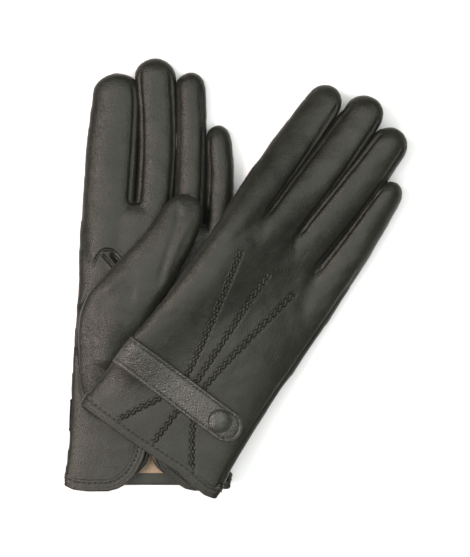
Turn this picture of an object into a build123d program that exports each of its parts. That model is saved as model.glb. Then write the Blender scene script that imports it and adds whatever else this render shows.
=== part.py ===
from build123d import *
import os
from math import cos, sin, pi, radians, exp, hypot

# A pair of leather dress gloves as they lie in a shop display, in millimetres.
# The left glove lies palm up on the table. The right glove lies back up across it.
# Glove coordinates: x from the index side to the little-finger side, y from the hem to the
# fingertips, h from the middle of the glove towards its back. The row frame has +Z up and +Y
# along the left glove.

# Driving dimensions
LEATHER = 0.9               # thickness of the trank, thumb and fourchette leather
LINING = 0.8                # thickness of the knitted lining
LAYER_GAP = 0.05            # air between two layers of one glove
FOURCHETTE_HEIGHT = 7.0     # width of the strip let in between two fingers
KNUCKLE_Y = 141.0           # where the hand divides into fingers
HEM_TURN = 9.0              # depth of leather turned in at the hem
FACING = 0.8                # thickness of the leather turned in
THUMB_GAP = 0.3             # air between the folded thumb and the palm
FOURCHETTE_LEATHER = 0.4    # skived thin where it is let in
FOURCHETTE_ROOM = 0.1       # half the air inside the folded fourchette
HEM_STITCH_Y = 4.8          # distance of the hem stitches from the edge
STITCH_PITCH = 3.3
STITCH_LENGTH = 2.3
STITCH_WIDTH = 0.5
STITCH_HEIGHT = 0.25
STITCH_ROW = (-41.5, 42.5)  # x of the first and last hem stitch
TOUCH = 0.02                # air between two pieces laid on each other

STRAP_WIDTH = 18.2
STRAP_REACH = 81.4          # root at the index-side fold to the rounded free end
STRAP_ROOT = (-43.6, 40.8)
STRAP_SLOPE = -4.0          # degrees
STRAP_GAP = 0.8             # strap clear of the back of the glove
STRAP_LEATHER = 0.9
STRAP_BACKING = 0.6
STRAP_STATIONS = [0.5, 2.0, 5.0, 10.0, 18.0, 28.0, 38.0, 48.0, 58.0, 66.0]
SNAP_AT = 68.2              # distance of the snap from the strap's root, along the strap
CAP_RADIUS = 6.35
CAP_HEIGHT = 2.1
SOCKET_RADIUS = 3.4
STUD_RADIUS = 1.7
STUD_HEIGHT = 1.2

POINT_WIDTH = 1.1           # raised ridge of each decorative row on the back
POINT_LOW = 0.1
POINT_HEIGHT = 0.4
VENT_DEPTH = 30.0           # inverted V cut in the palm side of the cuff
VENT_WIDTH = 25.0
VENT_X = 2.0
TACK_WIDTH = 3.0            # bar tack at the vent's peak
TACK_REACH = (0.5, 1.7)     # distances of its two edges past the peak
TACK_HEIGHT = 0.3
VENT_REACH = 16.0           # depth of the prism that cuts the vent
VENT_PEAK = 1.2             # half width of the vent's blunt peak
VENT_BEND = (0.55, 8.0)     # share of the half width left where the vent's edges bend, and y

HAND_POINTS = 20            # points round each cross-section of the hand
FINGER_POINTS = 12          # points round each cross-section of a finger or thumb
SEAM_ANGLE = 0.02           # half the open angle left along a side seam, radians
FLATNESS = 2.4              # exponent of the rounded, flattened cross-sections
FLOOR_CLEAR = 0.07

# Stations of the hand: y, index-side edge, little-finger edge, thickness
HAND = [
    (-8.0, -47.0, 46.8, 10.5),
    (13.0, -45.6, 45.6, 10.6),
    (31.0, -44.2, 44.1, 10.8),
    (50.0, -43.0, 43.8, 11.2),
    (75.0, -40.8, 44.2, 12.2),
    (100.0, -38.7, 45.1, 13.0),
    (127.0, -37.2, 46.0, 13.3),
    (KNUCKLE_Y, -36.8, 46.2, 13.3),
]

# Fingers: centre x at the base and at the tip, tip y, width at the base and near the tip
LEFT_FINGERS = {
    "index": (-24.8, -19.8, 235.4, 23.0, 20.6),
    "middle": (-1.6, 4.2, 243.7, 19.8, 20.4),
    "ring": (18.6, 24.2, 235.8, 17.8, 17.2),
    "little": (37.3, 41.2, 206.0, 17.0, 14.8),
}
RIGHT_FINGERS = {
    "index": (-27.2, -23.4, 230.0, 18.4, 18.0),
    "middle": (-6.6, -1.8, 236.0, 19.4, 19.6),
    "ring": (14.4, 20.6, 231.0, 19.2, 19.0),
    "little": (35.3, 37.6, 207.5, 18.2, 15.0),
}
FINGER_ORDER = ["index", "middle", "ring", "little"]
FINGER_THICK_BASE = 13.3
FINGER_THICK_TIP = 11.4
FINGER_ROUNDING = 11.0      # length of the rounded fingertip
FINGER_LENGTH = 90.0        # over which the fingers lie down from the knuckles
FINGER_YS = [165.0, 190.0]  # stations along the straight of a finger
TIP_SHARES = [0.4, 0.7, 0.9, 1.0]   # stations round a fingertip

# Thumbs: centre x, centre y, width and thickness along the thumb
LEFT_THUMB = [
    (-26.5, 60.0, 18.0, 5.0),
    (-22.5, 78.0, 31.0, 8.0),
    (-14.5, 97.0, 36.0, 9.6),
    (-3.0, 117.0, 31.0, 9.6),
    (9.0, 136.0, 28.5, 9.4),
    (17.5, 149.5, 27.5, 9.0),
]
LEFT_THUMB_TIP = 16.0
RIGHT_THUMB = [
    (-27.0, 62.0, 16.0, 4.5),
    (-23.0, 80.0, 26.0, 6.5),
    (-19.5, 98.0, 29.0, 7.2),
    (-14.5, 118.0, 28.0, 7.2),
    (-9.5, 138.0, 27.0, 7.2),
    (-5.5, 153.0, 26.0, 7.0),
]
RIGHT_THUMB_TIP = 16.0
HOLE_INSET = 4.5            # edge of the thumb hole inside the edge of the thumb
HOLE_START = 2.0            # the prism that cuts the hole starts this far from the middle
HOLE_REACH = 3.0            # and ends this far inside the thumb

# Decorative rows on the back, from the hem to the knuckles
POINT_ROWS = [
    [(-25.4, 2.5), (-11.5, 27.0), (-4.7, 47.0), (-16.9, 123.5)],
    [(-0.4, 4.0), (1.6, 28.0), (1.7, 46.5), (3.1, 121.6)],
    [(28.3, 2.5), (13.3, 26.0), (7.3, 47.0), (21.6, 120.0)],
]
POINT_YS = [13.0, 31.0, 50.0, 75.0, 100.0, 119.0]

# Where the two gloves lie: hem middle and turn of each, in the row frame
LEFT_ORIGIN = (-50.65, -120.08)
RIGHT_ORIGIN = (-49.55, -98.58)
RIGHT_TURN = -32.7
TABLE_LIFT = 2.4            # the closed strap holds the left cuff this far off the table
TABLE_LIFT_FADE = (60.0, 230.0)     # y where that lift starts to fade, and where it is gone
CAP_LIFT = 1.9              # further lift over the left snap cap
CAP_SPREAD = 17.0
CUFF_HEIGHT = 16.0          # underside of the right glove over the left cuff
CUFF_FADE = (-14.0, 64.0)   # X where the right glove starts to fall, and where it is down
PILE_HEIGHT = 26.8          # underside of the right glove over the two thumbs
PILE_DROP = 16.4            # how far the pile falls towards the right
PILE_FADE = (-24.0, 51.0)   # X of that fall
PILE_START = (-74.0, -41.0)         # foot of the pile's ridge line
PILE_DIRECTION = (0.7736, 0.6341)   # the way the ridge line runs
PILE_SPREAD = 40.0          # how fast the pile falls away beside its ridge line
PILE_RISE = (-35.0, 15.0)   # distances along the ridge line where the pile rises


def ease(t):
    """Smooth step from 0 to 1."""
    t = min(max(t, 0.0), 1.0)
    return t * t * (3 - 2 * t)


def eased_between(value, limits):
    """Smooth step from 0 at the first limit to 1 at the second."""
    return ease((value - limits[0]) / (limits[1] - limits[0]))


def along(table, y, column):
    """Linear value of one column of a table ordered by its first column."""
    if y <= table[0][0]:
        return table[0][column]
    for low, high in zip(table, table[1:]):
        if y <= high[0]:
            share = (y - low[0]) / (high[0] - low[0])
            return low[column] + share * (high[column] - low[column])
    return table[-1][column]


def hand_half_thickness(x, y):
    """Half thickness of the flattened hand at a place in its plan."""
    left, right, thick = (along(HAND, y, column) for column in (1, 2, 3))
    u = min(abs((x - (left + right) / 2) / ((right - left) / 2)), 0.999)
    return thick / 2 * (1 - u ** FLATNESS) ** (1 / FLATNESS)


def grown_half_thickness(x, y, grow):
    """Half thickness of the hand grown by a distance, 0 beyond its edge."""
    left, right, thick = (along(HAND, y, column) for column in (1, 2, 3))
    u = abs((x - (left + right) / 2) / ((right - left) / 2 + grow))
    return (thick / 2 + grow) * max(1 - u ** FLATNESS, 0.0) ** (1 / FLATNESS)


def strap_centre(distance):
    """Plan point on the strap's centre line, at a distance from its root."""
    x = STRAP_ROOT[0] + distance * cos(radians(STRAP_SLOPE))
    y = STRAP_ROOT[1] + distance * sin(radians(STRAP_SLOPE))
    return x, y


def left_lift(x, y):
    """Height of the left glove's underside: propped by its strap and snap cap."""
    snap_x, snap_y = strap_centre(SNAP_AT)
    over_cap = exp(-((x - snap_x) ** 2 + (y - snap_y) ** 2) / (2 * CAP_SPREAD ** 2))
    propped = TABLE_LIFT * (1 - eased_between(y, TABLE_LIFT_FADE))
    return FLOOR_CLEAR + propped + CAP_LIFT * over_cap


def right_lift(X, Y):
    """Height of the right glove's underside: it lies over the left cuff and both thumbs,
    then falls to the table towards its little finger."""
    cuff = CUFF_HEIGHT * (1 - eased_between(X, CUFF_FADE))
    dx, dy = X - PILE_START[0], Y - PILE_START[1]
    run = dx * PILE_DIRECTION[0] + dy * PILE_DIRECTION[1]
    off = dx * PILE_DIRECTION[1] - dy * PILE_DIRECTION[0]
    ridge = PILE_HEIGHT - PILE_DROP * eased_between(X, PILE_FADE)
    ridge *= exp(-(off / PILE_SPREAD) ** 2) * eased_between(run, PILE_RISE)
    return FLOOR_CLEAR + (cuff ** 4 + ridge ** 4) ** 0.25


class Glove:
    """Places glove coordinates in the row frame, and builds the offset forms of one glove."""

    def __init__(self, prefix, origin, turn, back_up, fingers, thumb, thumb_tip):
        self.prefix = prefix
        self.origin = origin
        self.turn = radians(turn)
        self.back_up = back_up
        self.fingers = fingers
        self.thumb = thumb
        self.thumb_tip = thumb_tip

    def plan(self, x, y):
        """Row-frame X and Y of a plan point of the glove."""
        c, s = cos(self.turn), sin(self.turn)
        return self.origin[0] + c * x - s * y, self.origin[1] + s * x + c * y

    def middle(self, x, y):
        """Height of the glove's middle surface."""
        X, Y = self.plan(x, y)
        lift = right_lift(X, Y) if self.back_up else left_lift(x, y)
        thick = along(HAND, y, 3)
        if y > KNUCKLE_Y:
            share = (y - KNUCKLE_Y) / FINGER_LENGTH
            thick = FINGER_THICK_BASE + share * (FINGER_THICK_TIP - FINGER_THICK_BASE)
        return lift + thick / 2

    def at(self, x, y, h):
        """Row-frame point at height h towards the back from the middle surface."""
        X, Y = self.plan(x, y)
        side = 1 if self.back_up else -1
        return Vector(X, Y, self.middle(x, y) + side * h)

    def corner(self, centre, across, angle, half_width, half_thick, h=0.0):
        """Point at an angle round a flattened cross-section, 0 on its far side."""
        c, s = cos(angle), sin(angle)
        u = abs(c) ** (2 / FLATNESS) * (1 if c > 0 else -1)
        v = abs(s) ** (2 / FLATNESS) * (1 if s > 0 else -1)
        return self.at(centre[0] + across[0] * u * half_width,
                       centre[1] + across[1] * u * half_width, h + v * half_thick)

    def wall_section(self, station, outer, inner, count):
        """Closed outline of a wall wrapped round a cross-section and open along its side seam.
        outer and inner are the distances its two faces are grown by."""
        centre, across, half_width, half_thick, h = station
        step = (2 * pi - 2 * SEAM_ANGLE) / (count - 1)
        angles = [SEAM_ANGLE + i * step for i in range(count)]
        points = [self.corner(centre, across, angle, max(half_width + outer, 0.5),
                              max(half_thick + outer, 0.5), h) for angle in angles]
        points += [self.corner(centre, across, angle, max(half_width + inner, 0.3),
                               max(half_thick + inner, 0.3), h) for angle in reversed(angles)]
        return Wire.make_polygon(points, close=True)

    def wall(self, stations, outer, inner, count):
        """Wrapped wall through a list of stations."""
        return Solid.make_loft([self.wall_section(s, outer, inner, count) for s in stations],
                               ruled=True)

    def hand_stations(self, start, end):
        """Stations of the hand between two distances from the hem."""
        ys = [start] + [row[0] for row in HAND if start + 2 < row[0] < end - 2] + [end]
        stations = []
        for y in ys:
            left, right, thick = (along(HAND, y, column) for column in (1, 2, 3))
            stations.append((((left + right) / 2, y), (1, 0), (right - left) / 2, thick / 2, 0.0))
        return stations

    def finger_stations(self, name, inset):
        """Stations of one finger, from the knuckles to its rounded tip."""
        base_x, tip_x, tip_y, base_width, tip_width = self.fingers[name]
        round_y = tip_y - FINGER_ROUNDING
        ys = [KNUCKLE_Y + LAYER_GAP] + FINGER_YS + [round_y]
        ys += [round_y + (FINGER_ROUNDING - inset) * share for share in TIP_SHARES]
        stations = []
        for y in ys:
            share = (y - KNUCKLE_Y) / (tip_y - KNUCKLE_Y)
            x = base_x + (tip_x - base_x) * ease(share)
            width = base_width + (tip_width - base_width) * share
            thick = FINGER_THICK_BASE + (FINGER_THICK_TIP - FINGER_THICK_BASE) * share
            closing = tip_closing((y - round_y) / (FINGER_ROUNDING - inset))
            stations.append(((x, y), (1, 0), width / 2 * closing, thick / 2 * closing, 0.0))
        return stations

    def thumb_stations(self, inset):
        """Stations of the thumb, folded flat on the palm."""
        first, last = self.thumb[0], self.thumb[-1]
        length = hypot(last[0] - first[0], last[1] - first[1])
        direction = ((last[0] - first[0]) / length, (last[1] - first[1]) / length)
        rows = [row + (1.0,) for row in self.thumb]
        for share in TIP_SHARES:
            reach = (self.thumb_tip - inset) * share
            rows.append((last[0] + direction[0] * reach, last[1] + direction[1] * reach,
                         last[2], last[3], tip_closing(share)))
        stations = []
        for x, y, width, thick, closing in rows:
            palm = hand_half_thickness(x, min(y, KNUCKLE_Y))
            h = -(palm + THUMB_GAP + thick / 2)
            stations.append(((x, y), (direction[1], -direction[0]), width / 2 * closing,
                             thick / 2 * closing, h))
        return stations

    def prism(self, outline, h0, h1):
        """Upright prism over a plan outline of glove points, between two heights."""
        centre_x = sum(p[0] for p in outline) / len(outline)
        centre_y = sum(p[1] for p in outline) / len(outline)
        middle = self.middle(centre_x, centre_y)
        low, high = (h0, h1) if self.back_up else (-h1, -h0)
        points = [Vector(*self.plan(x, y), middle + low) for x, y in outline]
        face = Face(Wire.make_polygon(points, close=True))
        return Solid.extrude(face, Vector(0, 0, high - low))

    def ribbon(self, stations, low, high, surface):
        """Thin strip through plan stations (x, y, half width) laid over a surface height."""
        rings = []
        for x, y, half in stations:
            edges = [(x - half, surface(x - half, y)), (x + half, surface(x + half, y))]
            corners = [(edges[0][0], edges[0][1] + low), (edges[1][0], edges[1][1] + low),
                       (edges[1][0], edges[1][1] + high), (edges[0][0], edges[0][1] + high)]
            rings.append(Wire.make_polygon([self.at(px, y, h) for px, h in corners], close=True))
        return Solid.make_loft(rings, ruled=True)

    def strap_layer(self, inset, low, high):
        """One layer of the strap, from the fold to its rounded free end."""
        half = STRAP_WIDTH / 2 - inset
        end = STRAP_REACH - inset
        stations = [(0.03 - high, half), (-low, half)]
        stations += [(distance, half) for distance in STRAP_STATIONS]
        for to_end in (1.0, 0.7, 0.45, 0.25, 0.1, 0.02):
            width = half * (1 - (1 - to_end) ** 2) ** 0.5
            stations.append((end - to_end * half, width))
        slope = radians(STRAP_SLOPE)
        rings = []
        for distance, width in stations:
            centre = strap_centre(distance)
            under, over = [], []
            for b in (-width, -width / 3, width / 3, width):
                x, y = centre[0] - b * sin(slope), centre[1] + b * cos(slope)
                under.append(self.at(x, y, grown_half_thickness(x, y, low)))
                over.append(self.at(x, y, max(grown_half_thickness(x, y, high), 0.1)))
            rings.append(Wire.make_polygon(under + over[::-1], close=True))
        return Solid.make_loft(rings, ruled=True)

    def snap_plane(self, h):
        """Plane square to the back at the snap, h above the back."""
        x, y = strap_centre(SNAP_AT)
        step = 2.0
        around = [self.at(x + dx, y + dy, hand_half_thickness(x + dx, y + dy))
                  for dx, dy in ((-step, 0), (step, 0), (0, -step), (0, step))]
        normal = (around[1] - around[0]).cross(around[3] - around[2])
        if not self.back_up:
            normal = normal * -1
        origin = self.at(x, y, hand_half_thickness(x, y))
        plane = Plane(origin=origin, x_dir=(around[1] - around[0]), z_dir=normal)
        return plane.offset(h)


def tip_closing(t):
    """Share of the full width left at a share of the way round a fingertip."""
    if t <= 0:
        return 1.0
    return max(max(1 - min(t, 1.0) ** 2.3, 0.0) ** 0.5, 0.2)


def disc(plane, radius, height):
    """Round disc standing on a plane."""
    return plane * Cylinder(radius, height, align=(Align.CENTER, Align.CENTER, Align.MIN))


def fourchette(glove, first, second):
    """Strip let in between two fingers: two legs joined in a V at the knuckle."""
    top = min(glove.fingers[first][2], glove.fingers[second][2]) - FINGER_ROUNDING
    half = FOURCHETTE_HEIGHT / 2
    ys = [KNUCKLE_Y - 2.0, KNUCKLE_Y + 1.0] + FINGER_YS + [top]

    def slit(y):
        edges = []
        for name, side in ((first, 1), (second, -1)):
            base_x, tip_x, tip_y, base_width, tip_width = glove.fingers[name]
            share = max((y - KNUCKLE_Y) / (tip_y - KNUCKLE_Y), 0.0)
            width = base_width + (tip_width - base_width) * share
            edges.append(base_x + (tip_x - base_x) * ease(share) + side * width / 2)
        return sum(edges) / 2

    def leg(low_x, high_x, stations):
        rings = []
        for y in stations:
            x = slit(y)
            corners = [(x + low_x, -half), (x + high_x, -half), (x + high_x, half),
                       (x + low_x, half)]
            rings.append(Wire.make_polygon([glove.at(px, y, h) for px, h in corners], close=True))
        return Solid.make_loft(rings, ruled=True)

    reach = FOURCHETTE_LEATHER + FOURCHETTE_ROOM
    legs = leg(-reach, -FOURCHETTE_ROOM, ys) + leg(FOURCHETTE_ROOM, reach, ys)
    return legs + leg(-reach, reach, [KNUCKLE_Y - 2.0, KNUCKLE_Y - 0.5])


def hem_stitches(glove):
    """Short stitches round the cuff, on the back and on both sides of the vent."""
    stitches = []
    first, last = STITCH_ROW
    for i in range(int((last - first) / STITCH_PITCH)):
        x = first + i * STITCH_PITCH
        for side in (1, -1):
            in_vent = abs(x + STITCH_LENGTH / 2 - VENT_X) < VENT_WIDTH / 2
            if side == -1 and in_vent:
                continue
            start, end = [glove.at(px, HEM_STITCH_Y, side * (hand_half_thickness(px, HEM_STITCH_Y)
                                                             + TOUCH))
                          for px in (x, x + STITCH_LENGTH)]
            across = glove.at(x, HEM_STITCH_Y + STITCH_WIDTH,
                              side * (hand_half_thickness(x, HEM_STITCH_Y) + TOUCH)) - start
            base = Wire.make_polygon([start, end, end + across, start + across], close=True)
            up = Vector(0, 0, STITCH_HEIGHT * side * (1 if glove.back_up else -1))
            stitches.append(Solid.extrude(Face(base), up))
    return Compound(stitches)


def vent_cutter(glove, grow=0.0):
    """Inverted V through the palm wall at the hem."""
    half = VENT_WIDTH / 2 + grow
    peak = VENT_DEPTH + grow
    share, bend_y = VENT_BEND
    outline = [(half, HAND[0][0] - 1), (half, 0.0), (half * share, bend_y),
               (VENT_PEAK + grow, peak)]
    outline = [(VENT_X - x, y) for x, y in outline] + [(VENT_X + x, y) for x, y in outline[::-1]]
    return glove.prism(outline, -VENT_REACH, 0.0)


def thumb_hole(glove, grow=0.0):
    """Opening between the palm and the base of the thumb."""
    rows = glove.thumb[:3]
    left = [(x - width / 2 + HOLE_INSET - grow, y) for x, y, width, thick in rows]
    right = [(x + width / 2 - HOLE_INSET + grow, y) for x, y, width, thick in reversed(rows)]
    palm = hand_half_thickness(*rows[1][:2])
    return glove.prism(left + right, -(palm + THUMB_GAP + HOLE_REACH), -HOLE_START)


def build_glove(glove):
    """Every node of one glove, by name."""
    nodes = {}
    lining_out = -LEATHER - LAYER_GAP
    lining_in = lining_out - LINING
    vent = vent_cutter(glove)
    wide_vent = vent_cutter(glove, 0.6)
    hole = thumb_hole(glove)
    lining_hole = thumb_hole(glove, -1.2)

    hand = glove.wall(glove.hand_stations(0.0, KNUCKLE_Y), 0.0, -LEATHER, HAND_POINTS)
    fingers = [glove.wall(glove.finger_stations(name, 0.0), 0.0, -LEATHER, FINGER_POINTS)
               for name in FINGER_ORDER]
    nodes["trank"] = Compound((hand - vent - hole).solids() + fingers)
    for first, second in zip(FINGER_ORDER, FINGER_ORDER[1:]):
        nodes["fourchette_%s_%s" % (first, second)] = fourchette(glove, first, second)
    nodes["thumb"] = glove.wall(glove.thumb_stations(0.0), 0.0, -LEATHER, FINGER_POINTS) - hole

    palm_lining = glove.wall(glove.hand_stations(HEM_TURN + 0.3, KNUCKLE_Y), lining_out,
                             lining_in, HAND_POINTS)
    finger_linings = [glove.wall(glove.finger_stations(name, -lining_out + 0.4), lining_out,
                                 lining_in, FINGER_POINTS) for name in FINGER_ORDER]
    nodes["lining"] = Compound((palm_lining - wide_vent - lining_hole).solids() + finger_linings)
    thumb_lining = glove.wall(glove.thumb_stations(-lining_out + 0.4), lining_out, lining_in,
                              FINGER_POINTS)
    nodes["thumb_lining"] = thumb_lining - lining_hole
    facing = glove.wall(glove.hand_stations(0.4, HEM_TURN), lining_out, lining_out - FACING,
                        HAND_POINTS)
    nodes["hem_facing"] = facing - wide_vent
    nodes["hem_thread"] = hem_stitches(glove)

    ridges = []
    for row in POINT_ROWS:
        ys = [row[0][1]] + POINT_YS
        line = [(y, x) for x, y in row]
        stations = [(along(line, y, 1), y, POINT_WIDTH / 2) for y in ys]
        ridges.append(glove.ribbon(stations, POINT_LOW, POINT_HEIGHT, hand_half_thickness))
    nodes["points_ridges"] = Compound(ridges)
    tack = [(VENT_X, VENT_DEPTH + reach, TACK_WIDTH / 2) for reach in TACK_REACH]
    nodes["vent_bar_tack"] = glove.ribbon(
        tack, -TACK_HEIGHT, 0.0, lambda x, y: -hand_half_thickness(x, y) - TOUCH)

    backing_top = STRAP_GAP + STRAP_BACKING
    strap_base = backing_top + LAYER_GAP
    strap_top = strap_base + STRAP_LEATHER
    snap_hole = disc(glove.snap_plane(-1.0), SOCKET_RADIUS + LAYER_GAP, strap_top + 2.5)
    nodes["strap"] = glove.strap_layer(0.0, strap_base, strap_top) - snap_hole
    nodes["strap_backing"] = glove.strap_layer(0.8, STRAP_GAP, backing_top) - snap_hole
    nodes["snap_stud"] = disc(glove.snap_plane(0.05), STUD_RADIUS, STUD_HEIGHT)
    socket = disc(glove.snap_plane(STRAP_GAP + 0.05), SOCKET_RADIUS, strap_top - STRAP_GAP)
    bore = disc(glove.snap_plane(0.0), STUD_RADIUS + 0.4, STUD_HEIGHT + 0.4)
    nodes["snap_socket"] = socket - bore
    cap_base = glove.snap_plane(strap_top + 0.1)
    sphere_radius = (CAP_RADIUS ** 2 + (CAP_HEIGHT - 0.5) ** 2) / (2 * (CAP_HEIGHT - 0.5))
    dome = glove.snap_plane(strap_top + 0.1 + CAP_HEIGHT - sphere_radius) * Sphere(sphere_radius)
    nodes["snap_cap"] = disc(cap_base, CAP_RADIUS, CAP_HEIGHT) & dome
    return {glove.prefix + "_" + name: shape for name, shape in nodes.items()}


left_glove = Glove("left", LEFT_ORIGIN, 0.0, False, LEFT_FINGERS, LEFT_THUMB, LEFT_THUMB_TIP)
right_glove = Glove("right", RIGHT_ORIGIN, RIGHT_TURN, True, RIGHT_FINGERS, RIGHT_THUMB,
                    RIGHT_THUMB_TIP)

if __name__ == "__main__":
    os.makedirs("parts", exist_ok=True)
    for glove in (left_glove, right_glove):
        for name, shape in build_glove(glove).items():
            solids = shape.solids()
            whole = solids[0] if len(solids) == 1 else Compound(solids)
            export_step(whole, "parts/%s.step" % name)
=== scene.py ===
import bpy
import numpy as np
from math import cos, sin, pi, radians
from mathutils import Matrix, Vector
from mathutils.bvhtree import BVHTree


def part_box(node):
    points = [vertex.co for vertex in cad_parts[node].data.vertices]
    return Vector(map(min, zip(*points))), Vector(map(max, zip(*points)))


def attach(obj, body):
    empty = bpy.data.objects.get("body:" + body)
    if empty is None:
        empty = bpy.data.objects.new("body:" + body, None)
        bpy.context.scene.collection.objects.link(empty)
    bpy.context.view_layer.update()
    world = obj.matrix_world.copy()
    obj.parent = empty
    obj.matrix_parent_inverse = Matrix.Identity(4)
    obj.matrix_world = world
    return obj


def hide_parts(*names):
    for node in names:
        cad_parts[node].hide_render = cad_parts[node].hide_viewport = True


# The visual model of a pair of leather dress gloves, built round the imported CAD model.
# Each glove is modelled in its own coordinates in millimetres: x from the index side to the
# little-finger side, y from the hem to the fingertips, h from the middle towards the back.
# place() then drapes it into the row frame in metres, as the CAD model does.

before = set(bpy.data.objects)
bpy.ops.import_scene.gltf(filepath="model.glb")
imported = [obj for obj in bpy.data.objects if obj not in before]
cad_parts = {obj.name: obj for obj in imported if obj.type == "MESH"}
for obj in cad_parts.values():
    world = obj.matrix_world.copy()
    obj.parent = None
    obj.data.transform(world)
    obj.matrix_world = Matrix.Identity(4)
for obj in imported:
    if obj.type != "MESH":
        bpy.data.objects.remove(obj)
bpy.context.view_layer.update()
MM = 0.001

# ---------------------------------------------------------------- where the gloves lie
LEFT_ORIGIN = (-50.65, -120.08)
RIGHT_ORIGIN = (-49.55, -98.58)
RIGHT_TURN = radians(-32.7)
TABLE_LIFT = 2.4        # how far the palm-up glove's cuff stands off the table on its own strap
CAP_LIFT = 1.9          # extra lift over its snap cap
CAP_LIFT_REACH = 17.0   # how far round the cap that lift spreads
PILE_HEIGHT = 26.8      # height of the ridge under the upper glove, where it crosses the lower one
PILE_DROP = 16.4        # how much lower the ridge is at its far end
PILE_CORNER = (-74.0, -41.0)        # where the ridge starts, in the row frame
PILE_ALONG = (0.7736, 0.6341)       # direction of the ridge
PILE_HALF_WIDTH = 40.0
CUFF_HEIGHT = 16.0      # height of the lower glove under the upper glove's cuff
FLOOR_CLEAR = 0.07
FLATNESS = 2.4          # exponent of the flattened oval that the hand's section is
STITCH_PITCH = 3.3

# Thickness of the hand by distance from the hem
THICK_Y = [-12.0, 13.0, 31.0, 50.0, 75.0, 100.0, 127.0, 141.0, 231.0]
THICK = [10.5, 10.6, 10.8, 11.2, 12.2, 13.0, 13.3, 13.3, 11.4]

# Index-side and little-finger-side edges of each hand by distance from the hem
LEFT_EDGE_Y = [-12.0, 4.0, 14.0, 23.0, 32.0, 54.0, 72.0, 90.0, 109.0, 131.0, 160.0]
LEFT_EDGE = [-48.0, -47.0, -45.8, -44.4, -43.9, -43.0, -42.2, -40.2, -38.6, -37.8, -36.8]
LEFT_FAR = [47.6, 47.0, 46.0, 45.0, 44.2, 43.8, 44.2, 45.0, 46.0, 47.2, 48.0]
RIGHT_EDGE_Y = [-12.0, 4.0, 14.0, 24.0, 32.0, 46.0, 76.0, 100.0, 125.0, 140.0, 160.0]
RIGHT_EDGE = [-47.8, -46.6, -45.4, -44.2, -43.6, -42.6, -38.6, -36.8, -36.0, -36.0, -36.2]
RIGHT_FAR = [47.4, 46.0, 44.6, 43.9, 43.8, 43.6, 44.7, 45.6, 46.2, 46.5, 46.3]


class Glove:
    """What differs between the two gloves."""

    def __init__(self, side, origin, turn, back_up, edge_y, edge, far, fingers, thumb):
        self.side = side
        self.origin = origin
        self.turn = turn
        self.back_up = back_up
        self.edge_y = edge_y
        self.edge = edge
        self.far = far
        self.fingers = fingers
        self.thumb = thumb
        self.body = side + "_glove"
        self.strap_body = side + "_strap"


def ease(t):
    """Soft step from 0 to 1 as t runs from 0 to 1."""
    t = np.clip(t, 0.0, 1.0)
    return t * t * (3 - 2 * t)


def smooth_table(y, table_y, values):
    """Value of a table at y, eased a little so that no station shows as a corner."""
    y = np.asarray(y, float)
    spread = 5.0
    total = 0.0
    for shift, weight in ((-1.0, 0.25), (-0.4, 0.25), (0.4, 0.25), (1.0, 0.25)):
        total = total + weight * np.interp(y + shift * spread, table_y, values)
    return total


def edges(glove, y):
    """Plan x of the hand's middle and its half width at distances y from the hem."""
    left_x = smooth_table(y, glove.edge_y, glove.edge)
    right_x = smooth_table(y, glove.edge_y, glove.far)
    return (left_x + right_x) / 2, (right_x - left_x) / 2


def half_thickness(glove, x, y):
    """Half thickness of the flattened hand at a place in its plan, and 0 outside it."""
    middle, half_width = edges(glove, y)
    u = np.abs((x - middle) / half_width)
    thick = smooth_table(y, THICK_Y, THICK)
    return thick / 2 * np.clip(1 - u ** FLATNESS, 0.0, 1.0) ** (1 / FLATNESS)


def place(glove, points):
    """Row-frame points in metres from glove coordinates in millimetres."""
    p = np.asarray(points, float).reshape(-1, 3)
    x, y, h = p[:, 0], p[:, 1], p[:, 2]
    c, s = cos(glove.turn), sin(glove.turn)
    X = glove.origin[0] + c * x - s * y
    Y = glove.origin[1] + s * x + c * y
    if glove.back_up:
        cuff = CUFF_HEIGHT * (1 - ease((X + 14) / 78))
        from_x, from_y = X - PILE_CORNER[0], Y - PILE_CORNER[1]
        run = from_x * PILE_ALONG[0] + from_y * PILE_ALONG[1]
        off = from_x * PILE_ALONG[1] - from_y * PILE_ALONG[0]
        ridge = PILE_HEIGHT - PILE_DROP * ease((X + 24) / 75)
        ridge = ridge * np.exp(-(off / PILE_HALF_WIDTH) ** 2) * ease((run + 35) / 50)
        lift = FLOOR_CLEAR + (cuff ** 4 + ridge ** 4) ** 0.25
    else:
        from_cap = np.hypot(x - SNAP[0], y - SNAP[1])
        over_cap = np.exp(-(from_cap / CAP_LIFT_REACH) ** 2 / 2)
        lift = FLOOR_CLEAR + TABLE_LIFT * (1 - ease((y - 60) / 170)) + CAP_LIFT * over_cap
    middle = lift + np.interp(y, THICK_Y, THICK) / 2
    Z = middle + (h if glove.back_up else -h)
    return np.column_stack([X, Y, Z]) * MM


# ---------------------------------------------------------------- mesh helpers
def add_object(name, data):
    """New object in the scene that shows a mesh, a light or a camera."""
    thing = bpy.data.objects.new(name, data)
    bpy.context.scene.collection.objects.link(thing)
    return thing


def new_object(name, vertices, faces, smooth=True):
    """New mesh object in the scene."""
    mesh = bpy.data.meshes.new(name)
    mesh.from_pydata([tuple(v) for v in vertices], [], [tuple(int(i) for i in f) for f in faces])
    mesh.update()
    if smooth:
        mesh.polygons.foreach_set("use_smooth", [True] * len(mesh.polygons))
    return add_object(name, mesh)


def mesh_arrays(mesh):
    """Vertices, their normals and the faces of a mesh, as arrays."""
    count = len(mesh.vertices)
    co = np.zeros(count * 3)
    mesh.vertices.foreach_get("co", co)
    normals = np.zeros(count * 3)
    mesh.vertices.foreach_get("normal", normals)
    faces = [tuple(p.vertices) for p in mesh.polygons]
    return co.reshape(-1, 3), normals.reshape(-1, 3), faces


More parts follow.
